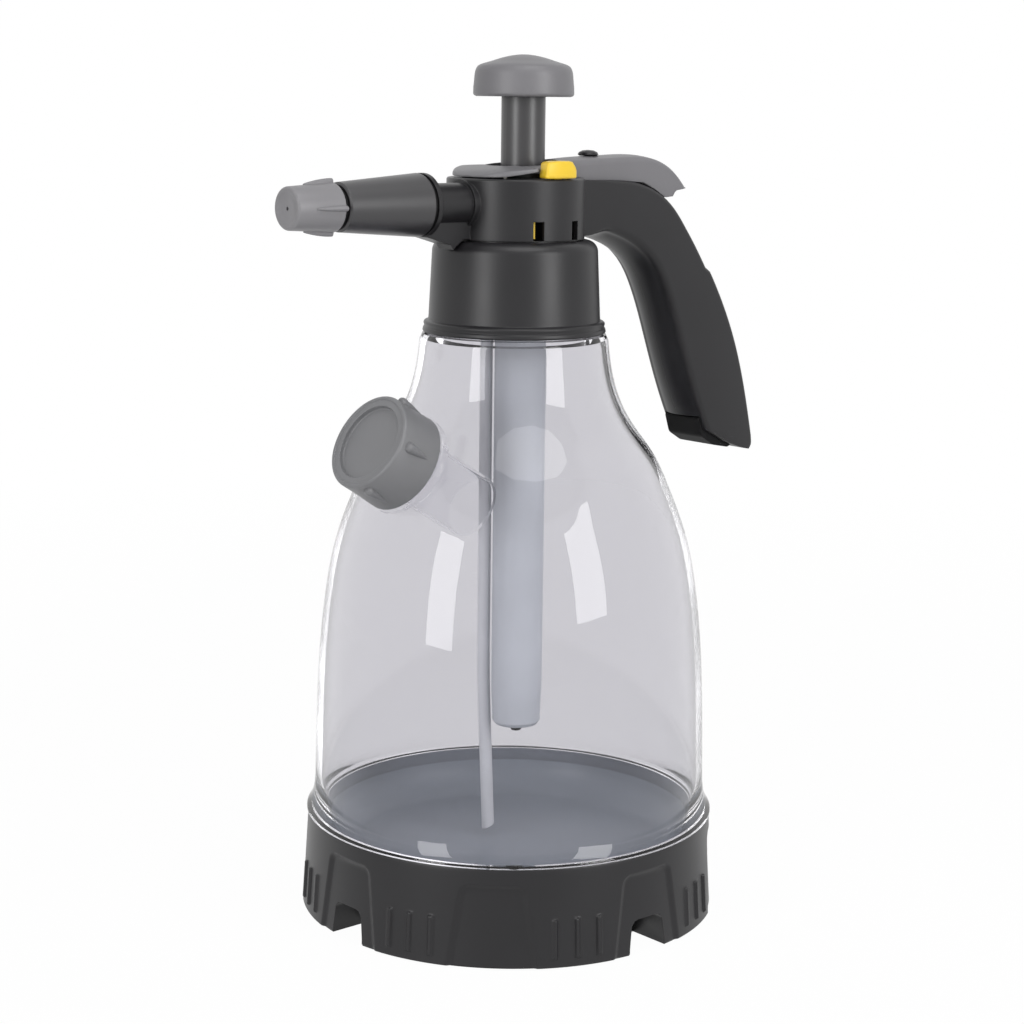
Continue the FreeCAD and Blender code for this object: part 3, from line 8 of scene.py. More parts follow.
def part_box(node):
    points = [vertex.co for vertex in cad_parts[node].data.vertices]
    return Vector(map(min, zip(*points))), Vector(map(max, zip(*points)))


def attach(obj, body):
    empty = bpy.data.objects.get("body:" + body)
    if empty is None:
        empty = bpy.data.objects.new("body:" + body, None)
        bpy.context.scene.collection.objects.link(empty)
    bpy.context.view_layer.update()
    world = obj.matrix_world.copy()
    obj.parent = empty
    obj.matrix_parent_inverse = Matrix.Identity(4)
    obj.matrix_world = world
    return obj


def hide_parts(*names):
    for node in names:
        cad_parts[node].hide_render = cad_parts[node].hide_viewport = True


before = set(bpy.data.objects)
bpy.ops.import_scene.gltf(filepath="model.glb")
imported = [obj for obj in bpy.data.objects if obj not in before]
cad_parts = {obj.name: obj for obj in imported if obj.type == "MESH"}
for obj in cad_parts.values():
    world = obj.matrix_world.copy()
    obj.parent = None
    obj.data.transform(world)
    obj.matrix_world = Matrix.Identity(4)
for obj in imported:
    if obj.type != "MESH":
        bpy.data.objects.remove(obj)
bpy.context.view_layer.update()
MM = 0.001

# Camera: at the height of the knob's foot and ahead of the sprayer's left side, looking down ten
# degrees, so that the nozzle points left and towards the viewer. Its turns are in degrees.
camera_place = Vector((0.4939, 0.5662, 0.2774))
camera_heading = 138.9
camera_pitch = -10.55
camera_roll = 0.68
camera_lens = 77.97


def turned(degrees, axis):
    """A turn about X, Y or Z."""
    return Matrix.Rotation(math.radians(degrees), 4, axis)


camera_data = bpy.data.cameras.new("camera")
camera_data.lens = camera_lens
camera_data.sensor_width = 36.0
camera_data.clip_end = 30.0
camera = bpy.data.objects.new("camera", camera_data)
camera.matrix_world = (
    Matrix.Translation(camera_place)
    @ turned(camera_heading, "Z")
    @ turned(90 + camera_pitch, "X")
    @ turned(camera_roll, "Z")
)
bpy.context.scene.collection.objects.link(camera)
bpy.context.scene.camera = camera
bpy.context.scene.view_settings.view_transform = "Standard"

# Room: a white cove. Rays that are seen, or that a gloss or glass surface sees, meet plain white,
# and the light that falls on the sprayer from it is a soft fill.
fill_level = 0.33


def add_node(tree, kind, inputs=(), **settings):
    """A new shader node. Its inputs, by name or number, take a value or another node's output."""
    node = tree.nodes.new(kind)
    for name, setting in settings.items():
        setattr(node, name, setting)
    for label, source in dict(inputs).items():
        if isinstance(source, bpy.types.NodeSocket):
            tree.links.new(source, node.inputs[label])
        else:
            node.inputs[label].default_value = source
    return node


def seen_rays(tree):
    """A mask that is 1 for rays from the camera, off a gloss or through glass."""
    path = add_node(tree, "ShaderNodeLightPath")
    seen = path.outputs["Is Camera Ray"]
    for ray in ("Is Glossy Ray", "Is Transmission Ray"):
        both = {0: seen, 1: path.outputs[ray]}
        seen = add_node(tree, "ShaderNodeMath", both, operation="MAXIMUM").outputs["Value"]
    return seen


room = bpy.data.worlds.new("room")
room.use_nodes = True
room_tree = room.node_tree
level = add_node(
    room_tree,
    "ShaderNodeMapRange",
    {"Value": seen_rays(room_tree), "To Min": fill_level, "To Max": 1.0},
)
background = room_tree.nodes["Background"]
background.inputs["Color"].default_value = (1, 1, 1, 1)
room_tree.links.new(level.outputs["Result"], background.inputs["Strength"])
bpy.context.scene.world = room

# Floor: a plain pale sheet. It glows white where it is seen and keeps a faint shadow round the
# sprayer. Under the base its glow is cut off in a sharp disc: a painted shade that shows its
# diffuse.
floor_half = 4.0
floor_drop = 0.0003
floor_white = 0.86
painted_shade_reach = 0.056
painted_shade_edge = 0.0005
shadow_reach = 0.3
shadow_share = 0.975
floor_mesh = bpy.data.meshes.new("floor")
floor_corners = []
for x, y in ((-1, -1), (1, -1), (1, 1), (-1, 1)):
    floor_corners.append((x * floor_half, y * floor_half, -floor_drop))
floor_mesh.from_pydata(floor_corners, [], [(0, 1, 2, 3)])
floor = bpy.data.objects.new("floor", floor_mesh)
bpy.context.scene.collection.objects.link(floor)
floor_paint = bpy.data.materials.new("floor_paint")
floor_paint.use_nodes = True
floor_tree = floor_paint.node_tree
floor_shader = floor_tree.nodes["Principled BSDF"]
floor_shader.inputs["Base Color"].default_value = (floor_white, floor_white, floor_white, 1)
floor_shader.inputs["Roughness"].default_value = 0.9
floor_shader.inputs["Specular IOR Level"].default_value = 0.0
glow = add_node(floor_tree, "ShaderNodeEmission", {"Color": (1, 1, 1, 1), "Strength": 1.0})
spot = add_node(floor_tree, "ShaderNodeTexCoord").outputs["Object"]
from_middle = add_node(floor_tree, "ShaderNodeVectorMath", {0: spot}, operation="LENGTH")
glow_share = seen_rays(floor_tree)
# the first ring is the painted shade: a dark disc under the base where the glow is cut off
for near, far, least in (
    (painted_shade_reach - painted_shade_edge, painted_shade_reach + painted_shade_edge, 0.0),
    (shadow_reach, 3 * shadow_reach, shadow_share),
):
    ring = add_node(
        floor_tree,
        "ShaderNodeMapRange",
        {"Value": from_middle.outputs["Value"], "From Min": near, "From Max": far, "To Min": least},
    )
    both = {0: glow_share, 1: ring.outputs["Result"]}
    glow_share = add_node(floor_tree, "ShaderNodeMath", both, operation="MULTIPLY").outputs["Value"]
floor_mix = add_node(
    floor_tree,
    "ShaderNodeMixShader",
    {"Fac": glow_share, 1: floor_shader.outputs["BSDF"], 2: glow.outputs["Emission"]},
)
floor_end = floor_tree.nodes["Material Output"]
floor_tree.links.new(floor_mix.outputs["Shader"], floor_end.inputs["Surface"])
floor_mesh.materials.append(floor_paint)

# Lamps: two upright soft boxes, one each side of the camera, and an eight-sided one overhead.
# They show in the bottle as two tall window shapes and a small eight-sided one.
box_radiance = 5.2
box_reach = 1.5
overhead_radiance = 3.8
overhead_radius = 0.56
overhead_place = Vector((0.164, 0.61, 1.365))
aim = Vector((0, 0, 0.14))


def soft_box(name, bearing, rise, wide, tall):
    """A rectangular soft box that faces the bottle: its place in degrees, its size in metres."""
    lamp_data = bpy.data.lights.new(name, "AREA")
    lamp_data.shape = "RECTANGLE"
    lamp_data.size = wide
    lamp_data.size_y = tall
    lamp_data.energy = box_radiance * 4 * wide * tall
    lamp = bpy.data.objects.new(name, lamp_data)
    around = math.radians(bearing)
    up = math.radians(rise)
    away = Vector((math.cos(up) * math.cos(around), math.cos(up) * math.sin(around), math.sin(up)))
    lamp.location = aim + away * box_reach
    lamp.rotation_euler = (-away).to_track_quat("-Z", "Y").to_euler()
    bpy.context.scene.collection.objects.link(lamp)
    lamp.visible_camera = False
    lamp.visible_transmission = False


soft_box("left_box", 7.0, 12.3, 0.45, 0.82)
soft_box("right_box", 98.0, 15.3, 0.54, 0.76)

overhead_mesh = bpy.data.meshes.new("overhead_box")
corners = []
for corner in range(8):
    turn = math.radians(22.5 + 45 * corner)
    corners.append((overhead_radius * math.cos(turn), overhead_radius * math.sin(turn), 0))
overhead_mesh.from_pydata(corners, [], [tuple(reversed(range(8)))])
overhead = bpy.data.objects.new("overhead_box", overhead_mesh)
overhead.location = overhead_place
overhead.visible_camera = False
overhead.visible_transmission = False
bpy.context.scene.collection.objects.link(overhead)
overhead_glow = bpy.data.materials.new("overhead_glow")
overhead_glow.use_nodes = True
overhead_glow.cycles.emission_sampling = "FRONT"
overhead_tree = overhead_glow.node_tree
overhead_tree.nodes.remove(overhead_tree.nodes["Principled BSDF"])
overhead_lamp = add_node(overhead_tree, "ShaderNodeEmission", {"Strength": overhead_radiance})
overhead_end = overhead_tree.nodes["Material Output"]
overhead_tree.links.new(overhead_lamp.outputs["Emission"], overhead_end.inputs["Surface"])
overhead_mesh.materials.append(overhead_glow)


# Base skirt: one charcoal polypropylene moulding that the bottle drops into, with eight sunk
# panels, small ribs between them and four notches. It carries the sprayer on its foot.
def add_group(name, inputs):
    """An empty shader node group with named inputs, and its two ends' sockets.

    It puts out a colour, a roughness and a normal."""
    group = bpy.data.node_groups.new(name, "ShaderNodeTree")
    for label, kind, value in inputs:
        socket = group.interface.new_socket(label, in_out="INPUT", socket_type=kind)
        socket.default_value = value
    for label, kind in (("Colour", COLOUR), ("Roughness", FLOAT), ("Normal", "NodeSocketVector")):
        group.interface.new_socket(label, in_out="OUTPUT", socket_type=kind)
    given = group.nodes.new("NodeGroupInput").outputs
    made = group.nodes.new("NodeGroupOutput").inputs
    return group, given, made


FLOAT = "NodeSocketFloat"
COLOUR = "NodeSocketColor"

grain_group, given, made = add_group(
    "moulded_grain",
    [
        ("Colour", COLOUR, (0.05, 0.05, 0.05, 1)),
        ("Mottle", FLOAT, 0.06),
        ("Roughness", FLOAT, 0.4),
        ("Grain per metre", FLOAT, 2600.0),
        ("Grain height", FLOAT, 0.00002),
        ("Edge round", FLOAT, 0.0004),
    ],
)
links = grain_group.links
spot = add_node(grain_group, "ShaderNodeTexCoord").outputs["Object"]
flow = add_node(
    grain_group, "ShaderNodeTexNoise", {"Vector": spot, "Scale": 38.0, "Detail": 4.0}
).outputs["Fac"]
limits = []
for how in ("SUBTRACT", "ADD"):
    limit = add_node(grain_group, "ShaderNodeMath", {0: 1.0, 1: given["Mottle"]}, operation=how)
    limits.append(limit.outputs["Value"])
mottle = add_node(
    grain_group,
    "ShaderNodeMapRange",
    {"Value": flow, "From Min": 0.3, "From Max": 0.7, "To Min": limits[0], "To Max": limits[1]},
)
tone = add_node(
    grain_group,
    "ShaderNodeVectorMath",
    {0: given["Colour"], "Scale": mottle.outputs["Result"]},
    operation="SCALE",
)
links.new(tone.outputs["Vector"], made["Colour"])
gloss = add_node(
    grain_group,
    "ShaderNodeMath",
    {0: flow, 1: 0.14, 2: given["Roughness"]},
    operation="MULTIPLY_ADD",
)
links.new(gloss.outputs["Value"], made["Roughness"])
grain = add_node(
    grain_group,
    "ShaderNodeTexNoise",
    {"Vector": spot, "Scale": given["Grain per metre"], "Detail": 2.0},
)
edge = add_node(grain_group, "ShaderNodeBevel", {"Radius": given["Edge round"]}, samples=4)
bump = add_node(
    grain_group,
    "ShaderNodeBump",
    {
        "Strength": 0.6,
        "Height": grain.outputs["Fac"],
        "Distance": given["Grain height"],
        "Normal": edge.outputs["Normal"],
    },
)
links.new(bump.outputs["Normal"], made["Normal"])


def grouped(name, group, inputs, plain):
    """A material whose shader takes its colour, roughness and normal from a group.

    Plain values go straight to the shader's own sockets."""
    paint = bpy.data.materials.new(name)
    paint.use_nodes = True
    shader = paint.node_tree.nodes["Principled BSDF"]
    skin = add_node(paint.node_tree, "ShaderNodeGroup", inputs, node_tree=group)
    for made, taken in (("Colour", "Base Color"), ("Roughness", "Roughness"), ("Normal", "Normal")):
        paint.node_tree.links.new(skin.outputs[made], shader.inputs[taken])
    for label, value in plain.items():
        shader.inputs[label.replace("_", " ")].default_value = value
    return paint, shader, skin


def moulded(name, colour, roughness, grain=2600.0, height=0.00002, **plain):
    """An opaque moulded plastic or rubber, or a dull metal, with a fine grain."""
    inputs = {
        "Colour": (*colour, 1),
        "Roughness": roughness,
        "Grain per metre": grain,
        "Grain height": height,
    }
    return grouped(name, grain_group, inputs, plain)[0]


def finish_nodes(paint, *names):
    """Gives CAD nodes a material."""
    for name in names:
        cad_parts[name].material_slots[0].material = paint


skirt_foot_radius = 72.5
skirt_top_radius = 70.3
skirt_tall = 33.4
skirt_wall = 2.6
web_low = 13.5
web_high = 16.0
panel_count = 8
panel_top = 28.0
panel_foot_half = 15.1
panel_top_half = 11.0
panel_corner = 3.5
panel_sink = 1.0
panel_slope = 1.7
rib_step = 6.1
rib_half = 0.95
rib_low = 3.0
rib_high = 16.5
rib_proud = 0.8
rib_slope = 0.4
tunnel_inner = 54.0
tunnel_outer = 69.6
tunnel_half = 10.2
tunnel_tall = 14.0
notch = [
    (-8.2, -3.0), (8.2, -3.0), (7.9, 2.0), (6.9, 9.6), (5.6, 11.2), (3.9, 11.6),
    (-3.9, 11.6), (-5.6, 11.2), (-6.9, 9.6), (-7.9, 2.0),
]


def ease(low, high, value):
    """0 below low, 1 above high, and a smooth step between."""
    share = min(max((value - low) / (high - low), 0.0), 1.0)
    return share * share * (3 - 2 * share)


def skirt_relief(turn, height):
    """How far the skirt's outer face stands out at a bearing and height: panels in, ribs out."""
    between = 2 * math.pi / panel_count
    nearest = round(turn / between) * between
    across = abs(turn - nearest) * skirt_foot_radius
    half = panel_foot_half + (panel_top_half - panel_foot_half) * height / panel_top
    out_side = across - half + panel_corner
    out_top = height - panel_top + panel_corner
    if out_side > 0 and out_top > 0:
        outside = math.hypot(out_side, out_top) - panel_corner
    else:
        outside = max(out_side, out_top) - panel_corner
    relief = -panel_sink * min(max(-outside / panel_slope, 0.0), 1.0)
    middle = (math.floor(turn / between) + 0.5) * between
    for step in (-1, 0, 1):
        beside_rib = abs(turn - middle - math.radians(step * rib_step)) * skirt_foot_radius
        outside = max(beside_rib - rib_half, rib_low - height, height - rib_high)
        relief += rib_proud * (1 - ease(-rib_slope, 0.1, outside))
    return relief


def as_mesh(shape, place=Matrix()):
    """A mesh in metres of a shape built in mm, placed, with its faces turned outwards."""
    bmesh.ops.recalc_face_normals(shape, faces=shape.faces)
    mesh = bpy.data.meshes.new("built")
    shape.to_mesh(mesh)
    shape.free()
    mesh.transform(Matrix.Scale(MM, 4) @ place)
    return mesh


def lathe(outline, sides, place=Matrix(), relief=None, rows=0):
    """A closed mesh turned about +Z from a closed (radius, height) outline in mm, then placed.

    A relief function moves the first rows out by its value at each bearing and height."""
    shape = bmesh.new()
    rings = []
    for row, (radius, height) in enumerate(outline):
        if radius < 1e-6:
            rings.append([shape.verts.new((0, 0, height))] * sides)
            continue
        ring = []
        for side in range(sides):
            turn = 2 * math.pi * side / sides
            reach = radius + relief(turn, height) if row < rows else radius
            ring.append(shape.verts.new((reach * math.cos(turn), reach * math.sin(turn), height)))
        rings.append(ring)
    for i, low in enumerate(rings):
        high = rings[(i + 1) % len(rings)]
        for side in range(sides):
            ahead = (side + 1) % sides
            corners = []
            for corner in (low[side], low[ahead], high[ahead], high[side]):
                if corner not in corners:
                    corners.append(corner)
            if len(corners) > 2:
                shape.faces.new(corners)
    return as_mesh(shape, place)


def prism(outline, reach, place=Matrix()):
    """A closed mesh drawn out both ways along Z from a closed (x, y) outline in mm, then placed."""
    shape = bmesh.new()
    low = [shape.verts.new((x, y, -reach)) for x, y in outline]
    high = [shape.verts.new((x, y, reach)) for x, y in outline]
    shape.faces.new(low)
    shape.faces.new(high)
    for i in range(len(outline)):
        ahead = (i + 1) % len(outline)
        shape.faces.new((low[i], low[ahead], high[ahead], high[i]))
    return as_mesh(shape, place)


def bend_round(centre, radius, first, last, steps=8):
    """An arc of (radius, height) points about a centre, between two angles in degrees."""
    arc = []
    for step in range(steps + 1):
        angle = math.radians(first + (last - first) * step / steps)
        arc.append((centre[0] + radius * math.cos(angle), centre[1] + radius * math.sin(angle)))
    return arc


def piece(name, mesh):
    """A new object from a mesh."""
    mesh.name = name
    thing = bpy.data.objects.new(name, mesh)
    bpy.context.scene.collection.objects.link(thing)
    return thing


def carve(blank, tool, how):
    """Joins a tool's mesh to a blank, or cuts it away, and drops the tool."""
    cutter = piece("tool", tool)
    step = blank.modifiers.new("step", "BOOLEAN")
    step.operation = how
    step.solver = "EXACT"
    step.object = cutter
    bpy.context.view_layer.update()
    carved = blank.evaluated_get(bpy.context.evaluated_depsgraph_get())
    carved = bpy.data.meshes.new_from_object(carved)
    blank.modifiers.clear()
    blank.data = carved
    bpy.data.objects.remove(cutter)


def smooth(thing, angle=32.0):
    """Smooth faces, with edges kept sharp above an angle."""
    thing.data.shade_smooth()
    thing.data.set_sharp_from_angle(angle=math.radians(angle))


def dress(thing, paint, slot, body, *nodes):
    """Gives a new piece its material, and sets it on its body in place of CAD nodes. The slot is
    not used.
    """
    thing.data.materials.clear()
    thing.data.materials.append(paint)
    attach(thing, body)
    if nodes:
        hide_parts(*nodes)


charcoal = moulded("charcoal_plastic", (0.012, 0.0115, 0.013), 0.3, Specular_IOR_Level=0.36)

heights = [0.7]
while heights[-1] < skirt_tall - 1.6:
    edge_near = min(abs(heights[-1] - level) for level in (rib_low, rib_high, panel_top - 0.6))
    heights.append(heights[-1] + (0.3 if edge_near < 1.2 else 0.8))
side_rows = []
for height in heights:
    share = height / skirt_tall
    side_rows.append((skirt_foot_radius + (skirt_top_radius - skirt_foot_radius) * share, height))
top_round = bend_round((skirt_top_radius - 0.7, skirt_tall - 0.7), 0.7, 0, 90, 4)
foot_round = bend_round((skirt_foot_radius - 0.7, 0.7), 0.7, -65, -15, 2)
skirt_outline = (
    foot_round
    + side_rows
    + top_round
    + [
        (skirt_top_radius - skirt_wall, skirt_tall),
        (skirt_foot_radius - skirt_wall - 1.0, web_high),
        (0, web_high),
        (0, web_low),
        (skirt_foot_radius - skirt_wall - 0.9, web_low),
        (skirt_foot_radius - skirt_wall, 0),
        (skirt_foot_radius - 1.2, 0),
    ]
)
skirt_turned = lathe(skirt_outline, 960, relief=skirt_relief, rows=len(side_rows) + 3)
skirt = piece("base_skirt_shell", skirt_turned)
# a walled tunnel leads in from each notch
tunnel = [
    (tunnel_inner, -tunnel_half), (tunnel_outer, -tunnel_half),
    (tunnel_outer, tunnel_half), (tunnel_inner, tunnel_half),
]
for turn in (0, 90, 180, 270):
    on_floor = turned(turn, "Z") @ Matrix.Translation((0, 0, tunnel_tall / 2))
    carve(skirt, prism(tunnel, tunnel_tall / 2, on_floor), "UNION")
for turn in (0, 90):
    across_base = turned(turn, "Z") @ turned(90, "X")
    carve(skirt, prism(notch, 80.0, across_base), "DIFFERENCE")
smooth(skirt, 40.0)
dress(skirt, charcoal, "charcoal_plastic", "bottle", "base_skirt")

# Bottle: one blow-moulded clear piece, seated inside the skirt, with a rolled bead above it, a
# belly that curves in to a neck, and a round filler neck with a flange on the nozzle's side.
bottle_wall = 2.2
skirt_rim = 33.4
bottle_foot = 16.0
foot_radius = 66.6
foot_bend = 13.5
bead_radius = 70.8
belly = [
    (67.9, 44.5), (67.5, 60.4), (65.95, 93.4), (64.15, 109.9), (61.9, 123.0), (58.1, 136.2),
    (53.7, 147.2), (48.5, 158.2), (40.6, 169.2), (35.3, 180.1), (33.0, 189.9), (32.1, 197.6),
]
shoulder_radius = 31.2
shoulder_bore = 29.6
throat_radius = 26.5
throat_bore = 24.3
ledge_level = 199.3
mouth_level = 224.0
filler_seat = Vector((47.9, 0, 159.2))
filler_lean = 59.0
filler_radius = 13.6
filler_bore = 11.4
filler_foot = -9.0
filler_mouth = 12.0
flange_radius = 17.3
flange_foot = -6.5
flange_top = -0.3
flange_edge = 0.3


def fair_curve(points, steps):
    """A natural cubic through 2-D points, with that many steps to each span."""
    count = len(points)
    along = [0.0]
    for a, b in zip(points, points[1:]):
        along.append(along[-1] + math.dist(a, b))
    bends = []
    for axis in (0, 1):
        value = [point[axis] for point in points]
        upper = [0.0] * count
        bend = [0.0] * count
        for i in range(1, count - 1):
            ahead = along[i + 1] - along[i]
            behind = along[i] - along[i - 1]
            pull = (value[i + 1] - value[i]) / ahead - (value[i] - value[i - 1]) / behind
            pivot = 2 * (ahead + behind) - behind * upper[i - 1]
            upper[i] = ahead / pivot
            bend[i] = (6 * pull - behind * bend[i - 1]) / pivot
        for i in range(count - 2, 0, -1):
            bend[i] -= upper[i] * bend[i + 1]
        bends.append(bend)
    made_points = []
    for i in range(count - 1):
        span = along[i + 1] - along[i]
        for step in range(steps):
            b = step / steps
            a = 1 - b
            spot = []
            for axis in (0, 1):
                value = a * points[i][axis] + b * points[i + 1][axis]
                value += (a**3 - a) * bends[axis][i] * span**2 / 6
                value += (b**3 - b) * bends[axis][i + 1] * span**2 / 6
                spot.append(value)
            made_points.append(tuple(spot))
    return made_points + [points[-1]]


def beside(points, distance):
    """Points moved square to their line: to its right where distance is positive."""
    moved = []
    for i, (radius, height) in enumerate(points):
        before = points[max(i - 1, 0)]
        after = points[min(i + 1, len(points) - 1)]
        run = (after[0] - before[0], after[1] - before[1])
        size = math.hypot(*run)
        moved.append((radius + distance * run[1] / size, height - distance * run[0] / size))
    return moved


bead = fair_curve([(bead_radius, skirt_rim + 0.8), (69.5, 36.5), (68.5, 39.7), belly[0]], 5)
side = fair_curve(belly, 6)
outside = (
    [(0, bottle_foot)]
    + bend_round((foot_radius - foot_bend, bottle_foot + foot_bend), foot_bend, -90, 0)
    + [(foot_radius, skirt_rim), (bead_radius, skirt_rim)]
    + bead[:-1]
    + side
    + [(shoulder_radius, ledge_level), (throat_radius, ledge_level)]
    + [(throat_radius, mouth_level), (0, mouth_level)]
)
lining = beside(side[:-2], -bottle_wall)
inside = (
    [(0, bottle_foot + bottle_wall)]
    + bend_round(
        (foot_radius - foot_bend, bottle_foot + foot_bend), foot_bend - bottle_wall, -90, 0
    )
    + lining
    + [(shoulder_bore, ledge_level - bottle_wall), (throat_bore, ledge_level - bottle_wall)]
    + [(throat_bore, mouth_level + 1), (0, mouth_level + 1)]
)
filler_place = Matrix.Translation(filler_seat) @ turned(filler_lean, "Y")
filler_neck = [
    (0, filler_foot), (filler_radius, filler_foot), (filler_radius, flange_foot),
    (flange_radius - flange_edge, flange_foot), (flange_radius, flange_foot + flange_edge),
    (flange_radius, flange_top - flange_edge), (flange_radius - flange_edge, flange_top),
    (filler_radius, flange_top), (filler_radius, filler_mouth - 0.4),
    (filler_radius - 0.4, filler_mouth), (0, filler_mouth),
]
filler_way = [(0, -15), (filler_bore, -15), (filler_bore, filler_mouth + 1), (0, filler_mouth + 1)]
bottle = piece("bottle_shell", lathe(outside, 192))
carve(bottle, lathe(filler_neck, 96, filler_place), "UNION")
carve(bottle, lathe(inside, 192), "DIFFERENCE")
carve(bottle, lathe(filler_way, 96, filler_place), "DIFFERENCE")
smooth(bottle)

wall_group, given, made = add_group(
    "blown_wall",
    [
        ("Colour", COLOUR, (0.8, 0.79, 0.82, 1)),
        ("Haze", FLOAT, 0.02),
        ("Ripple height", FLOAT, 0.00008),
    ],
)
links = wall_group.links
spot = add_node(wall_group, "ShaderNodeTexCoord").outputs["Object"]
thickness = add_node(
    wall_group, "ShaderNodeTexNoise", {"Vector": spot, "Scale": 22.0, "Detail": 2.0}
).outputs["Fac"]
tint = add_node(
    wall_group, "ShaderNodeMapRange", {"Value": thickness, "To Min": 0.985, "To Max": 1.01}
)
tone = add_node(
    wall_group,
    "ShaderNodeVectorMath",
    {0: given["Colour"], "Scale": tint.outputs["Result"]},
    operation="SCALE",
)
links.new(tone.outputs["Vector"], made["Colour"])
haze = add_node(
    wall_group,
    "ShaderNodeMath",
    {0: thickness, 1: 0.02, 2: given["Haze"]},
    operation="MULTIPLY_ADD",
)
links.new(haze.outputs["Value"], made["Roughness"])
ripple = add_node(
    wall_group,
    "ShaderNodeBump",
    {"Strength": 0.1, "Height": thickness, "Distance": given["Ripple height"]},
)
links.new(ripple.outputs["Normal"], made["Normal"])


def add_coat(paint, shader, skin, rim):
    """A gloss coat that fades where the wall is seen edge on, and a tint that deepens there.

    Only the outer face deepens, by the rim's share."""
    tree = paint.node_tree
    edge_on = add_node(tree, "ShaderNodeLayerWeight", {"Blend": 0.5}).outputs["Facing"]
    coat = add_node(
        tree,
        "ShaderNodeMapRange",
        {"Value": edge_on, "From Min": 0.55, "From Max": 0.9, "To Min": 1.0, "To Max": 0.0},
        interpolation_type="SMOOTHSTEP",
    )
    tree.links.new(coat.outputs["Result"], shader.inputs["Coat Weight"])
    inner = add_node(tree, "ShaderNodeNewGeometry").outputs["Backfacing"]
    outer = add_node(tree, "ShaderNodeMath", {0: 1.0, 1: inner}, operation="SUBTRACT")
    both = {0: edge_on, 1: outer.outputs["Value"]}
    outer_edge = add_node(tree, "ShaderNodeMath", both, operation="MULTIPLY").outputs["Value"]
    deeper = add_node(
        tree,
        "ShaderNodeMapRange",
        {"Value": outer_edge, "From Min": 0.68, "From Max": 0.98, "To Min": 1.0, "To Max": 1 - rim},
        interpolation_type="SMOOTHSTEP",
    )
    tinted = add_node(
        tree,
        "ShaderNodeVectorMath",
        {0: skin.outputs["Colour"], "Scale": deeper.outputs["Result"]},
        operation="SCALE",
    )
    tree.links.new(tinted.outputs["Vector"], shader.inputs["Base Color"])


def clear(name, colour, haze, ior, shade=0.0, rim=0.0, **plain):
    """A clear plastic that lets lamplight in to what it holds, less its shade.

    Its tint wanders a little with the wall, as blown plastic does. A rim gives it a gloss coat."""
    plain = {"Transmission_Weight": 1.0, "IOR": ior, **plain}
    inputs = {"Colour": (*colour, 1), "Haze": haze}
    paint, shader, skin = grouped(name, wall_group, inputs, plain)
    tree = paint.node_tree
    if rim:
        add_coat(paint, shader, skin, rim)
    passed = (1 - shade, 1 - shade, 1 - shade, 1)
    lamplight = add_node(tree, "ShaderNodeBsdfTransparent", {"Color": passed})
    path = add_node(tree, "ShaderNodeLightPath")
    either = add_node(
        tree,
        "ShaderNodeMixShader",
        {
            "Fac": path.outputs["Is Shadow Ray"],
            1: shader.outputs["BSDF"],
            2: lamplight.outputs["BSDF"],
        },
    )
    tree.links.new(either.outputs["Shader"], tree.nodes["Material Output"].inputs["Surface"])
    return paint


clear_plastic = clear(
    "clear_plastic", (0.77, 0.764, 0.79), 0.0, 1.12, shade=0.08, rim=0.78,
    Coat_IOR=1.4, Coat_Roughness=0.01, Specular_Tint=(0.42, 0.41, 0.45, 1),
)
# the bottle's foot inside the skirt is a dark, nearly opaque copy of the clear plastic: painted
# shade
painted_shade_foot = clear(
    "painted_shade_foot_plastic", (0.2, 0.22, 0.255), 0.3, 1.3, shade=0.3, Transmission_Weight=0.08
)
dress(bottle, clear_plastic, "clear_plastic", "bottle", "bottle", "bottle_shoulder")
# faces below the skirt's rim take the painted shade
bottle.data.materials.append(painted_shade_foot)
for face in bottle.data.polygons:
    face.material_index = int(face.center.z < (skirt_rim - 1.0) * MM)

# Filler: a short clear tube that lines the filler neck, a black rubber washer on its rim, and a
# grey screw cap with a sunk top and five tapering finger grips.
cap_radius = 17.0
cap_long = 16.9
cap_bore = 14.0
cap_ceiling = 14.4
cap_grips = 5
cap_turn = 24.0
filler_lining = clear(
    "filler_tube_plastic", (0.95, 0.95, 0.96), 0.05, 1.03, Specular_Tint=(0.5, 0.5, 0.54, 1)
)
finish_nodes(filler_lining, "filler_tube")
rubber = moulded(
    "black_rubber", (0.008, 0.008, 0.0085), 0.55, grain=1800.0, height=0.00003,
    Specular_IOR_Level=0.15,
)
finish_nodes(rubber, "filler_gasket")
cap_outline = (
    [(cap_bore, 0.0), (cap_radius - 0.5, 0.0), (cap_radius, 0.5), (cap_radius - 0.1, 4.0)]
    + [(cap_radius - 0.4, 10.0)]
    + bend_round((cap_radius - 1.45, cap_long - 1.0), 1.0, 8, 90, 6)
    + [(cap_radius - 1.8, cap_long - 0.03), (cap_radius - 2.05, cap_long - 0.35)]
    + [(cap_radius - 3.8, cap_long - 0.3)]
    + bend_round((cap_radius - 3.85, cap_long - 0.6), 0.3, 90, 180, 4)
    + bend_round((cap_radius - 4.85, cap_long - 1.4), 0.6, 0, -88, 4)
    + [(0, cap_long - 2.0), (0, cap_ceiling), (cap_bore, cap_ceiling)]
)
cap = piece("filler_cap_shell", lathe(cap_outline, 144, filler_place))


def teardrop(long, wide, tall, blunt, fall):
    """A closed rib that lies along Z, blunt at its top end and running out at the bottom one.

    A higher fall keeps it broad for longer."""
    outline = []
    for step in range(17):
        share = step / 16
        if share < blunt:
            swell = math.sqrt(1 - ((blunt - share) / blunt) ** 2)
        else:
            swell = 1 - 0.9 * ((share - blunt) / (1 - blunt)) ** fall
        outline.append((0 if step in (0, 16) else swell / 2, -long * share))
    rib = lathe(outline, 24)
    rib.transform(Matrix.Diagonal((2 * tall, wide, 1, 1)))
    return rib


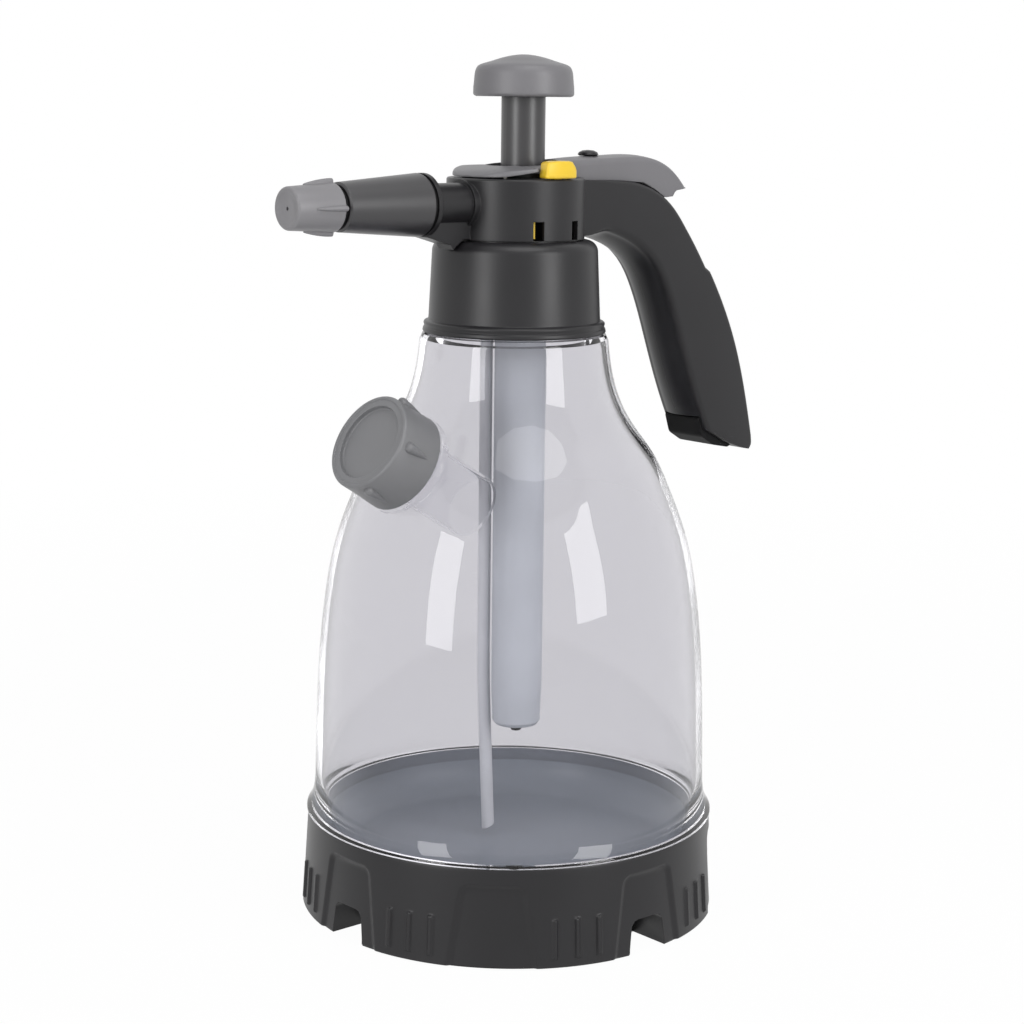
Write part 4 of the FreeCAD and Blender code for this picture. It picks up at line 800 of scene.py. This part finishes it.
for grip in range(cap_grips):
    rib = teardrop(long=11.4, wide=3.5, tall=1.75, blunt=0.15, fall=1.2)
    on_side = Matrix.Translation(Vector((cap_radius - 0.45, 0, cap_long - 2.0)) * MM)
    around = turned(cap_turn + 360 / cap_grips * grip, "Z")
    at_seat = Matrix.Translation(filler_seat * MM) @ turned(filler_lean, "Y")
    rib.transform(at_seat @ around @ on_side)
    carve(cap, rib, "UNION")
smooth(cap, 40.0)
filler_grey = moulded("filler_grey_plastic", (0.175, 0.176, 0.184), 0.36)
dress(cap, filler_grey, "filler_grey_plastic", "filler_cap", "filler_cap")

# Collar: the big charcoal nut that screws down on the bottle's neck. It is one moulding with a
# stepped bead round its foot, and it clamps a black rubber washer on the bottle's mouth.
collar_foot = 199.9
collar_top = 231.0
collar_radius = 29.1
collar_top_radius = 28.0
collar_bend = 3.9
collar_bore = 26.9
bead_out = 30.9
lip_foot = 228.2
lip_bore = 22.4
collar_outline = (
    [(collar_bore, collar_foot)]
    + bend_round((bead_out - 0.4, collar_foot + 0.6), 0.6, -90, 30, 4)
    + [(bead_out, collar_foot + 1.5), (bead_out - 0.35, collar_foot + 1.8)]
    + [(bead_out - 0.35, collar_foot + 2.1)]
    + bend_round((bead_out - 1.0, collar_foot + 3.0), 0.85, -30, 80, 5)
    + [(collar_radius + 0.15, collar_foot + 4.2), (collar_radius, collar_foot + 5.0)]
    + bend_round((collar_top_radius - collar_bend, collar_top - collar_bend), collar_bend, 3, 90, 8)
    + [(lip_bore, collar_top), (lip_bore, lip_foot), (collar_bore, lip_foot)]
)
collar = piece("collar_shell", lathe(collar_outline, 160))
smooth(collar, 38.0)
dress(collar, charcoal, "charcoal_plastic", "collar", "collar_nut")
finish_nodes(rubber, "collar_gasket")

# Pump cylinder: a milky polypropylene tube that hangs from the head into the bottle. A charcoal
# guide nut with a rubber wiper closes its top, and a rubber flap is the valve in its foot.
milky = moulded("milky_plastic", (0.57, 0.595, 0.64), 0.3, Transmission_Weight=0.2, IOR=1.3)
finish_nodes(milky, "pump_cylinder")
finish_nodes(charcoal, "guide_nut")
finish_nodes(rubber, "cylinder_seal", "rod_wiper", "inlet_valve")

# Plunger: a satin charcoal rod with a grey thumb knob pressed on its top, and a milky piston with
# a rubber ring at its foot. It slides in the pump cylinder, three millimetres behind the axis.
pump_reach = -3.0
knob_foot = 278.2
knob_tall = 13.8
knob_radius = 16.9
knob_socket = 6.1
socket_top = 8.6
knob_outline = (
    [(knob_socket, knob_foot), (knob_radius - 1.1, knob_foot)]
    + bend_round((knob_radius - 1.0, knob_foot + 1.1), 1.0, -80, 10, 5)
    + fair_curve(
        [(knob_radius - 0.05, knob_foot + 3.0), (knob_radius - 0.35, knob_foot + 6.0),
         (knob_radius - 0.75, knob_foot + 8.6), (knob_radius - 1.5, knob_foot + 9.9),
         (knob_radius - 3.0, knob_foot + 10.7), (knob_radius - 6.0, knob_foot + 11.6),
         (knob_radius - 9.5, knob_foot + 12.7), (knob_radius - 13.0, knob_foot + 13.5)],
        4,
    )
    + [(1.5, knob_foot + knob_tall - 0.01), (0, knob_foot + knob_tall)]
    + [(0, knob_foot + socket_top), (knob_socket, knob_foot + socket_top)]
)
pump_place = Matrix.Translation((pump_reach, 0, 0))
knob = piece("pump_knob_shell", lathe(knob_outline, 128, pump_place))
smooth(knob, 38.0)
soft_grey = moulded("grey_plastic", (0.15, 0.147, 0.156), 0.36)
dress(knob, soft_grey, "grey_plastic", "plunger", "pump_knob")
satin_charcoal = moulded(
    "satin_charcoal_plastic", (0.022, 0.021, 0.0235), 0.28, Specular_IOR_Level=0.75
)
finish_nodes(satin_charcoal, "pump_rod")
finish_nodes(milky, "piston")
finish_nodes(rubber, "piston_seal")

# Head: the charcoal moulding that carries the pump, the nozzle and the handle. The collar clamps
# its flange, and the lever and the lock sit in its top.
finish_nodes(charcoal, "pump_head")

# Spray valve: milky fittings, a rubber seal and a steel spring inside the head, with the small
# pipe that feeds the nozzle.
steel = moulded("spring_steel", (0.55, 0.55, 0.56), 0.25, Metallic=1.0)
finish_nodes(milky, "valve_body", "valve_stem", "feed_pipe")
finish_nodes(rubber, "valve_seal")
finish_nodes(steel, "valve_spring")

# Relief valve: a charcoal button on top of the head, pulled up against a steel spring to let the
# air out of the bottle.
finish_nodes(milky, "relief_gland")
finish_nodes(charcoal, "relief_stem", "relief_button")
finish_nodes(rubber, "relief_seal")
finish_nodes(steel, "relief_spring")

# Dip tube: a pale open pipe from the head down to the bottle's floor, cut at a slant.
pale = moulded("pale_plastic", (0.62, 0.63, 0.66), 0.3, Transmission_Weight=0.1, IOR=1.3)
finish_nodes(pale, "dip_tube")

# Nozzle: a tapered satin charcoal barrel pushed on the head's stub, a milky tube and core inside
# it, a rubber ring at each end, and a grey cap with four fins that turns to set the spray.
nozzle_level = 243.3
nozzle_foot = 76.3
nozzle_tip = 93.9
nozzle_radius = 7.8
nozzle_bore = 6.8
cavity_radius = 5.3
spray_hole = 0.6
nozzle_fins = 4
finish_nodes(satin_charcoal, "nozzle_barrel")
finish_nodes(milky, "lance_tube", "swirl_core")
finish_nodes(rubber, "barrel_seal", "nozzle_oring")
nozzle_place = Matrix.Translation((0, 0, nozzle_level)) @ turned(90, "Y")
nozzle_outline = (
    [(nozzle_bore, nozzle_foot), (nozzle_radius - 0.3, nozzle_foot)]
    + [(nozzle_radius, nozzle_foot + 0.3), (nozzle_radius - 0.5, nozzle_foot + 8.8)]
    + bend_round((5.95, nozzle_tip - 1.0), 0.9, 5, 95, 5)
    + [(5.2, nozzle_tip - 0.15), (4.9, nozzle_tip - 0.4), (spray_hole, nozzle_tip - 0.45)]
    + [(spray_hole, nozzle_tip - 2.0), (cavity_radius, nozzle_tip - 2.0)]
    + [(cavity_radius, nozzle_foot + 1.6), (nozzle_bore, nozzle_foot + 1.6)]
)
nozzle_cap = piece("nozzle_cap_shell", lathe(nozzle_outline, 96, nozzle_place))
for fin in range(nozzle_fins):
    rib = teardrop(long=12.0, wide=2.0, tall=1.8, blunt=0.08, fall=1.8)
    on_side = Matrix.Translation(Vector((nozzle_radius - 0.45, 0, nozzle_foot - 0.6)) * MM)
    around = turned(360 / nozzle_fins * fin, "Z")
    at_level = Matrix.Translation(Vector((0, 0, nozzle_level)) * MM) @ turned(90, "Y")
    rib.transform(at_level @ around @ on_side @ turned(180, "X"))
    carve(nozzle_cap, rib, "UNION")
smooth(nozzle_cap, 40.0)
# the cap's grey is a lighter copy of the knob's grey plastic: painted light
painted_lit_grey = moulded("painted_lit_grey_plastic", (0.2, 0.196, 0.206), 0.34)
dress(nozzle_cap, painted_lit_grey, "grey_plastic", "nozzle_cap", "nozzle_cap")

# Lever: a grey thumb lever, moulded with a round plate over the head, a ring round the pump's
# guide nut and a skirted tail behind. It is hinged on a steel pin across the head.
head_top = 251.6
lever_plate_radius = 21.3
lever_plate_rear = 6.9
lever_ring_radius = 14.8
lever_ring_bore = 12.5
lever_tail_half = 8.2
lever_skin = 1.9
lever_step = -16.6
lever_crown = 0.6
lever_round = 2.2
lever_tip = -73.8
plate_corner = 1.2
pocket_stations = (-24, -30, -36, -42, -48, -54, -57.5)
stem_room_radius = 2.5
pivot_reach = 14.0
pivot_rise = 0.9
pivot_bore = 1.1
ear_half = 2.6
ear_apart = 8.6
# how far the top and the underside stand above the head, from the front to the tail's tip
lever_top = [
    (21.2, 1.0), (19.6, 2.1), (16.5, 3.0), (11.0, 3.8), (5.0, 4.4), (0.0, 4.8), (-12.0, 5.6),
    (-24.0, 6.5), (-40.0, 7.1), (-51.0, 7.3), (-58.0, 6.4), (-66.3, 2.9), (lever_tip, -4.1),
]
lever_under = [
    (21.2, 0.4), (16.7, 0.6), (6.7, 2.6), (lever_step, 2.8), (lever_step - 0.05, -1.1),
    (-44.0, -1.7), (-52.1, -2.3), (-57.0, -4.5), (-62.6, -7.6), (-66.4, -7.3), (-67.8, -5.3),
    (-71.1, -4.9), (lever_tip, -4.7),
]


def level_at(line, reach):
    """The height of a front-to-back line at one place along it."""
    for (x, z), (next_x, next_z) in zip(line, line[1:]):
        if next_x <= reach <= x:
            return z + (next_z - z) * (x - reach) / (x - next_x)
    return line[-1][1]


def loft(sections):
    """A closed mesh through closed sections of (x, y, z) points in mm."""
    shape = bmesh.new()
    rings = []
    for section in sections:
        rings.append([shape.verts.new(point) for point in section])
    shape.faces.new(rings[0])
    shape.faces.new(rings[-1])
    count = len(rings[0])
    for a, b in zip(rings, rings[1:]):
        for i in range(count):
            ahead = (i + 1) % count
            shape.faces.new((a[i], a[ahead], b[ahead], b[i]))
    return as_mesh(shape)


def lever_half(reach):
    """Half the lever's width at one place along it: round plate, then ring, then tail."""
    if reach >= lever_plate_rear:
        half = math.sqrt(lever_plate_radius**2 - reach**2)
        into = min(max((lever_plate_rear + plate_corner - reach) / plate_corner, 0.0), 1.0)
        return half - plate_corner * (1 - math.sqrt(1 - into**2))
    ring = math.sqrt(max(lever_ring_radius**2 - (reach - pump_reach) ** 2, 0.0))
    narrower = 1.2 * ease(lever_tip + 2.8, lever_tip, reach)
    return max(lever_tail_half - narrower, ring)


def lever_section(reach):
    """A closed section across the lever: flat below, crowned above, with rounded upper edges."""
    half = lever_half(reach)
    low = level_at(lever_under, reach) + head_top
    top = level_at(fair_top, reach) + head_top
    shoulder = top - lever_crown * min(1.0, half / 8)
    if shoulder - low < 0.4:
        shoulder = low + 0.4
        top = max(top, shoulder + 0.05)
    bend = min(lever_round, (shoulder - low) * 0.8, half * 0.6)
    side = [(half - 0.2, low), (half, low + 0.1)]
    for step in range(7):
        turn = math.pi / 2 * step / 6
        side.append((half - bend + bend * math.cos(turn), shoulder - bend + bend * math.sin(turn)))
    for step in range(1, 5):
        across = (half - bend) * (1 - step / 5)
        side.append((across, top - (top - shoulder) * (across / (half - bend)) ** 2))
    points = [(reach, y, z) for y, z in side]
    return points + [(reach, 0, top)] + [(reach, -y, z) for y, z in reversed(side)]


fair_top = fair_curve(lever_top, 8)
places = [21.2, 21.1, 20.8, 20.3, 19.6, 18.6, 17.4, 16.0, 14.4, 12.7, 11.0, 9.6, 8.4, 8.0, 7.6]
places += [7.2, 7.0, lever_plate_rear, lever_plate_rear - 0.05]
places += [5.8 - 1.6 * step for step in range(14)] + [lever_step, lever_step - 0.05]
places += [-18.0 - 2.0 * step for step in range(20)] + [-57.4 - 1.0 * step for step in range(16)]
places += [lever_tip + 0.6, lever_tip]
lever = piece("lever_shell", loft([lever_section(reach) for reach in places]))
ring_bore = [(0, -8), (lever_ring_bore, -8), (lever_ring_bore, 12), (0, 12)]
carve(lever, lathe(ring_bore, 96, Matrix.Translation((pump_reach, 0, head_top))), "DIFFERENCE")
upright = turned(90, "X")
pocket = [(reach, level_at(fair_top, reach) - lever_skin) for reach in pocket_stations]
pocket += [(-61.5, -1.4), (-61.5, -12), (-20, -12), (-20, pocket[0][1] - 1.2)]
pocket = [(x, z + head_top) for x, z in pocket]
carve(lever, prism(pocket, lever_tail_half - 1.6, upright), "DIFFERENCE")
button_low, button_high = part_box("relief_button")
button_reach = (button_low[0] + button_high[0]) / 2 / MM
stem_room = [(0, -8), (stem_room_radius, -8), (stem_room_radius, 12), (0, 12)]
carve(lever, lathe(stem_room, 48, Matrix.Translation((button_reach, 0, head_top))), "DIFFERENCE")
ears = [
    (pivot_reach - ear_half, head_top - 1), (pivot_reach + ear_half, head_top - 1),
    (pivot_reach + ear_half, head_top + ear_half), (pivot_reach - ear_half, head_top + ear_half),
]
carve(lever, prism(ears, ear_apart, upright), "DIFFERENCE")
pin_groove = [(0, -12), (pivot_bore, -12), (pivot_bore, 12), (0, 12)]
pivot = Matrix.Translation((pivot_reach, 0, head_top + pivot_rise)) @ upright
carve(lever, lathe(pin_groove, 24, pivot), "DIFFERENCE")
smooth(lever, 38.0)
dress(lever, soft_grey, "grey_plastic", "lever", "lever")
zinc = moulded("dark_metal", (0.3, 0.3, 0.31), 0.35, Metallic=1.0)
finish_nodes(zinc, "lever_pin")

# Lock: one yellow moulding. Its thumb tab stands on the head's rim, and a neck goes down through
# the head to a blade and a leg that turn inside it and show in the side slot.
lock_start = 73.0
lock_span = 33.6
tab_inner = 18.2
tab_outer = 24.0
tab_foot = 0.3
tab_tall = 5.7
tab_edge = 0.9
tab_fall = 3.8
blade_inner = 18.8
blade_outer = 20.6
blade_start = 58.5
blade_end = 140.0
leg_end = 67.3
leg_foot = 232.3


def ring_block(shape, inner, outer, low, high, first, last, rounding):
    """Adds a closed block of a ring about +Z, between two bearings, with its edges rounded."""
    steps = max(2, round((last - first) / 3))
    before = set(shape.verts)
    rows = []
    for step in range(steps + 1):
        turn = math.radians(first + (last - first) * step / steps)
        corners = []
        for radius, height in ((inner, low), (outer, low), (outer, high), (inner, high)):
            spot = (radius * math.cos(turn), radius * math.sin(turn), height)
            corners.append(shape.verts.new(spot))
        rows.append(corners)
    faces = [shape.faces.new(rows[0]), shape.faces.new(rows[-1])]
    for a, b in zip(rows, rows[1:]):
        for corner in range(4):
            ahead = (corner + 1) % 4
            faces.append(shape.faces.new((a[corner], b[corner], b[ahead], a[ahead])))
    bmesh.ops.recalc_face_normals(shape, faces=faces)
    if rounding:
        edges = []
        for edge in {edge for face in faces for edge in face.edges}:
            if edge.calc_face_angle(0) > 0.6:
                edges.append(edge)
        bmesh.ops.bevel(
            shape, geom=edges, offset=rounding, segments=4, profile=0.5, affect="EDGES",
            clamp_overlap=True,
        )
    return [vertex for vertex in shape.verts if vertex not in before]


lock_shape = bmesh.new()
tab = ring_block(
    lock_shape, tab_inner, tab_outer, head_top + tab_foot, head_top + tab_foot + tab_tall,
    lock_start, lock_start + lock_span, tab_edge,
)
for vertex in tab:
    bearing = math.degrees(math.atan2(vertex.co.y, vertex.co.x))
    along = (bearing - lock_start) / lock_span
    up = (vertex.co.z - head_top - tab_foot) / tab_tall
    # the front end leans back, the top falls to the front and rolls over at the rear
    fall = 0.35 * ease(0.35, 0.0, along) + tab_fall * ease(0.72, 1.04, along) ** 2
    vertex.co.z -= up * fall
    lean = math.radians(1.8 * up * ease(0.3, 0.0, along))
    vertex.co.xy = Matrix.Rotation(lean, 2) @ vertex.co.xy
for low, high, first, last in (
    (head_top - 6.0, head_top + 0.8, 86, 96),
    (head_top - 9.0, head_top - 6.0, blade_start, blade_end),
    (leg_foot, head_top - 8.0, blade_start, leg_end),
    (head_top - 6.5, head_top - 2.6, blade_end - 8, blade_end),
):
    ring_block(lock_shape, blade_inner, blade_outer, low, high, first, last, 0)
lock = piece("lock_tab_shell", as_mesh(lock_shape))
smooth(lock, 40.0)
yellow = moulded("yellow_plastic", (0.8, 0.54, 0.028), 0.3)
dress(lock, yellow, "yellow_plastic", "lock", "lock_tab")

# Handle: two charcoal halves that screw together round the head's tenon, with their seam down the
# middle, a crowned face for the fingers, and a black plug in the lower end.
handle_back = [
    (-19.0, 250.8), (-34.0, 250.5), (-44.0, 250.0), (-52.0, 248.3), (-61.5, 243.9), (-73.3, 232.6),
    (-82.1, 220.6), (-89.2, 209.4), (-97.5, 193.0), (-104.8, 171.0), (-109.1, 153.0),
]
handle_grip = [
    (-19.0, 232.0), (-30.0, 231.2), (-38.0, 229.2), (-46.6, 225.6), (-54.6, 219.4), (-60.9, 209.4),
    (-67.5, 193.0), (-76.2, 171.6), (-82.0, 160.4),
]
handle_heel = [
    ((-109.1, 152.0), (-86.2, 158.2)), ((-108.7, 151.2), (-91.0, 155.6)),
    ((-108.3, 150.8), (-97.0, 153.2)), ((-107.5, 150.7), (-102.5, 151.7)),
]
handle_half = 10.5
handle_wall = 1.9
handle_crown = 2.4
handle_bend = 3.0
seam_gap = 0.005
back_step_level = 218.0
back_step_out = 1.2
plug_room = [(-81.2, 164.8), (-99.6, 164.8), (-99.6, 147.0), (-76.0, 147.0), (-76.0, 164.8)]
head_radius = 23.3
head_room = 0.2


def spaced(points, count):
    """The line through the points, cut into that many equal steps."""
    line = fair_curve(points, 12)
    along = [0.0]
    for a, b in zip(line, line[1:]):
        along.append(along[-1] + math.dist(a, b))
    found = []
    place = 0
    for step in range(count + 1):
        target = along[-1] * step / count
        while place < len(line) - 2 and along[place + 1] < target:
            place += 1
        share = (target - along[place]) / (along[place + 1] - along[place])
        a, b = line[place], line[place + 1]
        found.append((a[0] + (b[0] - a[0]) * share, a[1] + (b[1] - a[1]) * share))
    return found


def grip_section(grip, back, side):
    """Half of the handle's section: crowned in front, flat at the side, rounded at both corners."""
    deep = math.dist(grip, back)
    run = ((back[0] - grip[0]) / deep, (back[1] - grip[1]) / deep)
    # the face for the fingers swells out from the flat foot of the head
    full = ease(-23.5, -35.0, grip[0])
    bend = min(0.8 + (handle_bend - 0.8) * full, deep / 4)
    crown = handle_crown * min(1.0, deep / 12) * full
    flat = handle_half - bend
    line = [(0.0, seam_gap)]
    for step in range(1, 8):
        across = flat * step / 8
        line.append((crown * (across / flat) ** 2, across))
    for step in range(7):
        turn = math.pi / 2 * step / 6
        line.append((crown + bend * (1 - math.cos(turn)), flat + bend * math.sin(turn)))
    rear = bend * 0.6
    for step in range(7):
        turn = math.pi / 2 * step / 6
        across = handle_half - rear * (1 - math.cos(turn))
        line.append((deep - rear * (1 - math.sin(turn)), across))
    line.append((deep, seam_gap))
    points = []
    for along, across in line:
        points.append((grip[0] + run[0] * along, side * across, grip[1] + run[1] * along))
    return points


stations = list(zip(spaced(handle_back, 60), spaced(handle_grip, 60))) + handle_heel
# the lower part of the back stands a little proud of the upper part
stepped = []
for back, grip in stations:
    proud = back_step_out * (ease(back_step_level + 1.2, back_step_level - 1.2, back[1]) - 0.5)
    proud *= ease(244.0, 232.0, back[1]) * ease(150.0, 156.0, back[1])
    stepped.append(((back[0] - proud * 0.9, back[1] + proud * 0.44), grip))

hollow_back = beside(spaced(handle_back[5:], 16), -handle_wall)
hollow_grip = beside(spaced(handle_grip, 24), handle_wall + handle_crown)
hollow = (
    hollow_back[:-1] + [(-106.0, 156.5), (-104.0, 163.5)]
    + hollow_grip[::-1][1:] + [(-16.0, 234.0), (-16.0, 262.0), (-78.0, 262.0)]
)
room_for_head = [
    (0, 220), (head_radius + head_room, 220), (head_radius + head_room, 262), (0, 262),
]
for side, name, node in (
    (1, "handle_left_shell", "handle_left"),
    (-1, "handle_right_shell", "handle_right"),
):
    sections = []
    for back, grip in stepped:
        sections.append(grip_section(grip, back, side))
    half = piece(name, loft(sections))
    carve(half, prism(hollow, handle_half - handle_wall, upright), "DIFFERENCE")
    carve(half, prism(plug_room, handle_half - handle_wall, upright), "DIFFERENCE")
    carve(half, lathe(room_for_head, 128), "DIFFERENCE")
    smooth(half, 38.0)
    dress(half, charcoal, "charcoal_plastic", "head", node)
black = moulded("black_plastic", (0.006, 0.006, 0.0065), 0.5, Specular_IOR_Level=0.12)
finish_nodes(black, "grip_plug")
finish_nodes(zinc, "handle_screws")
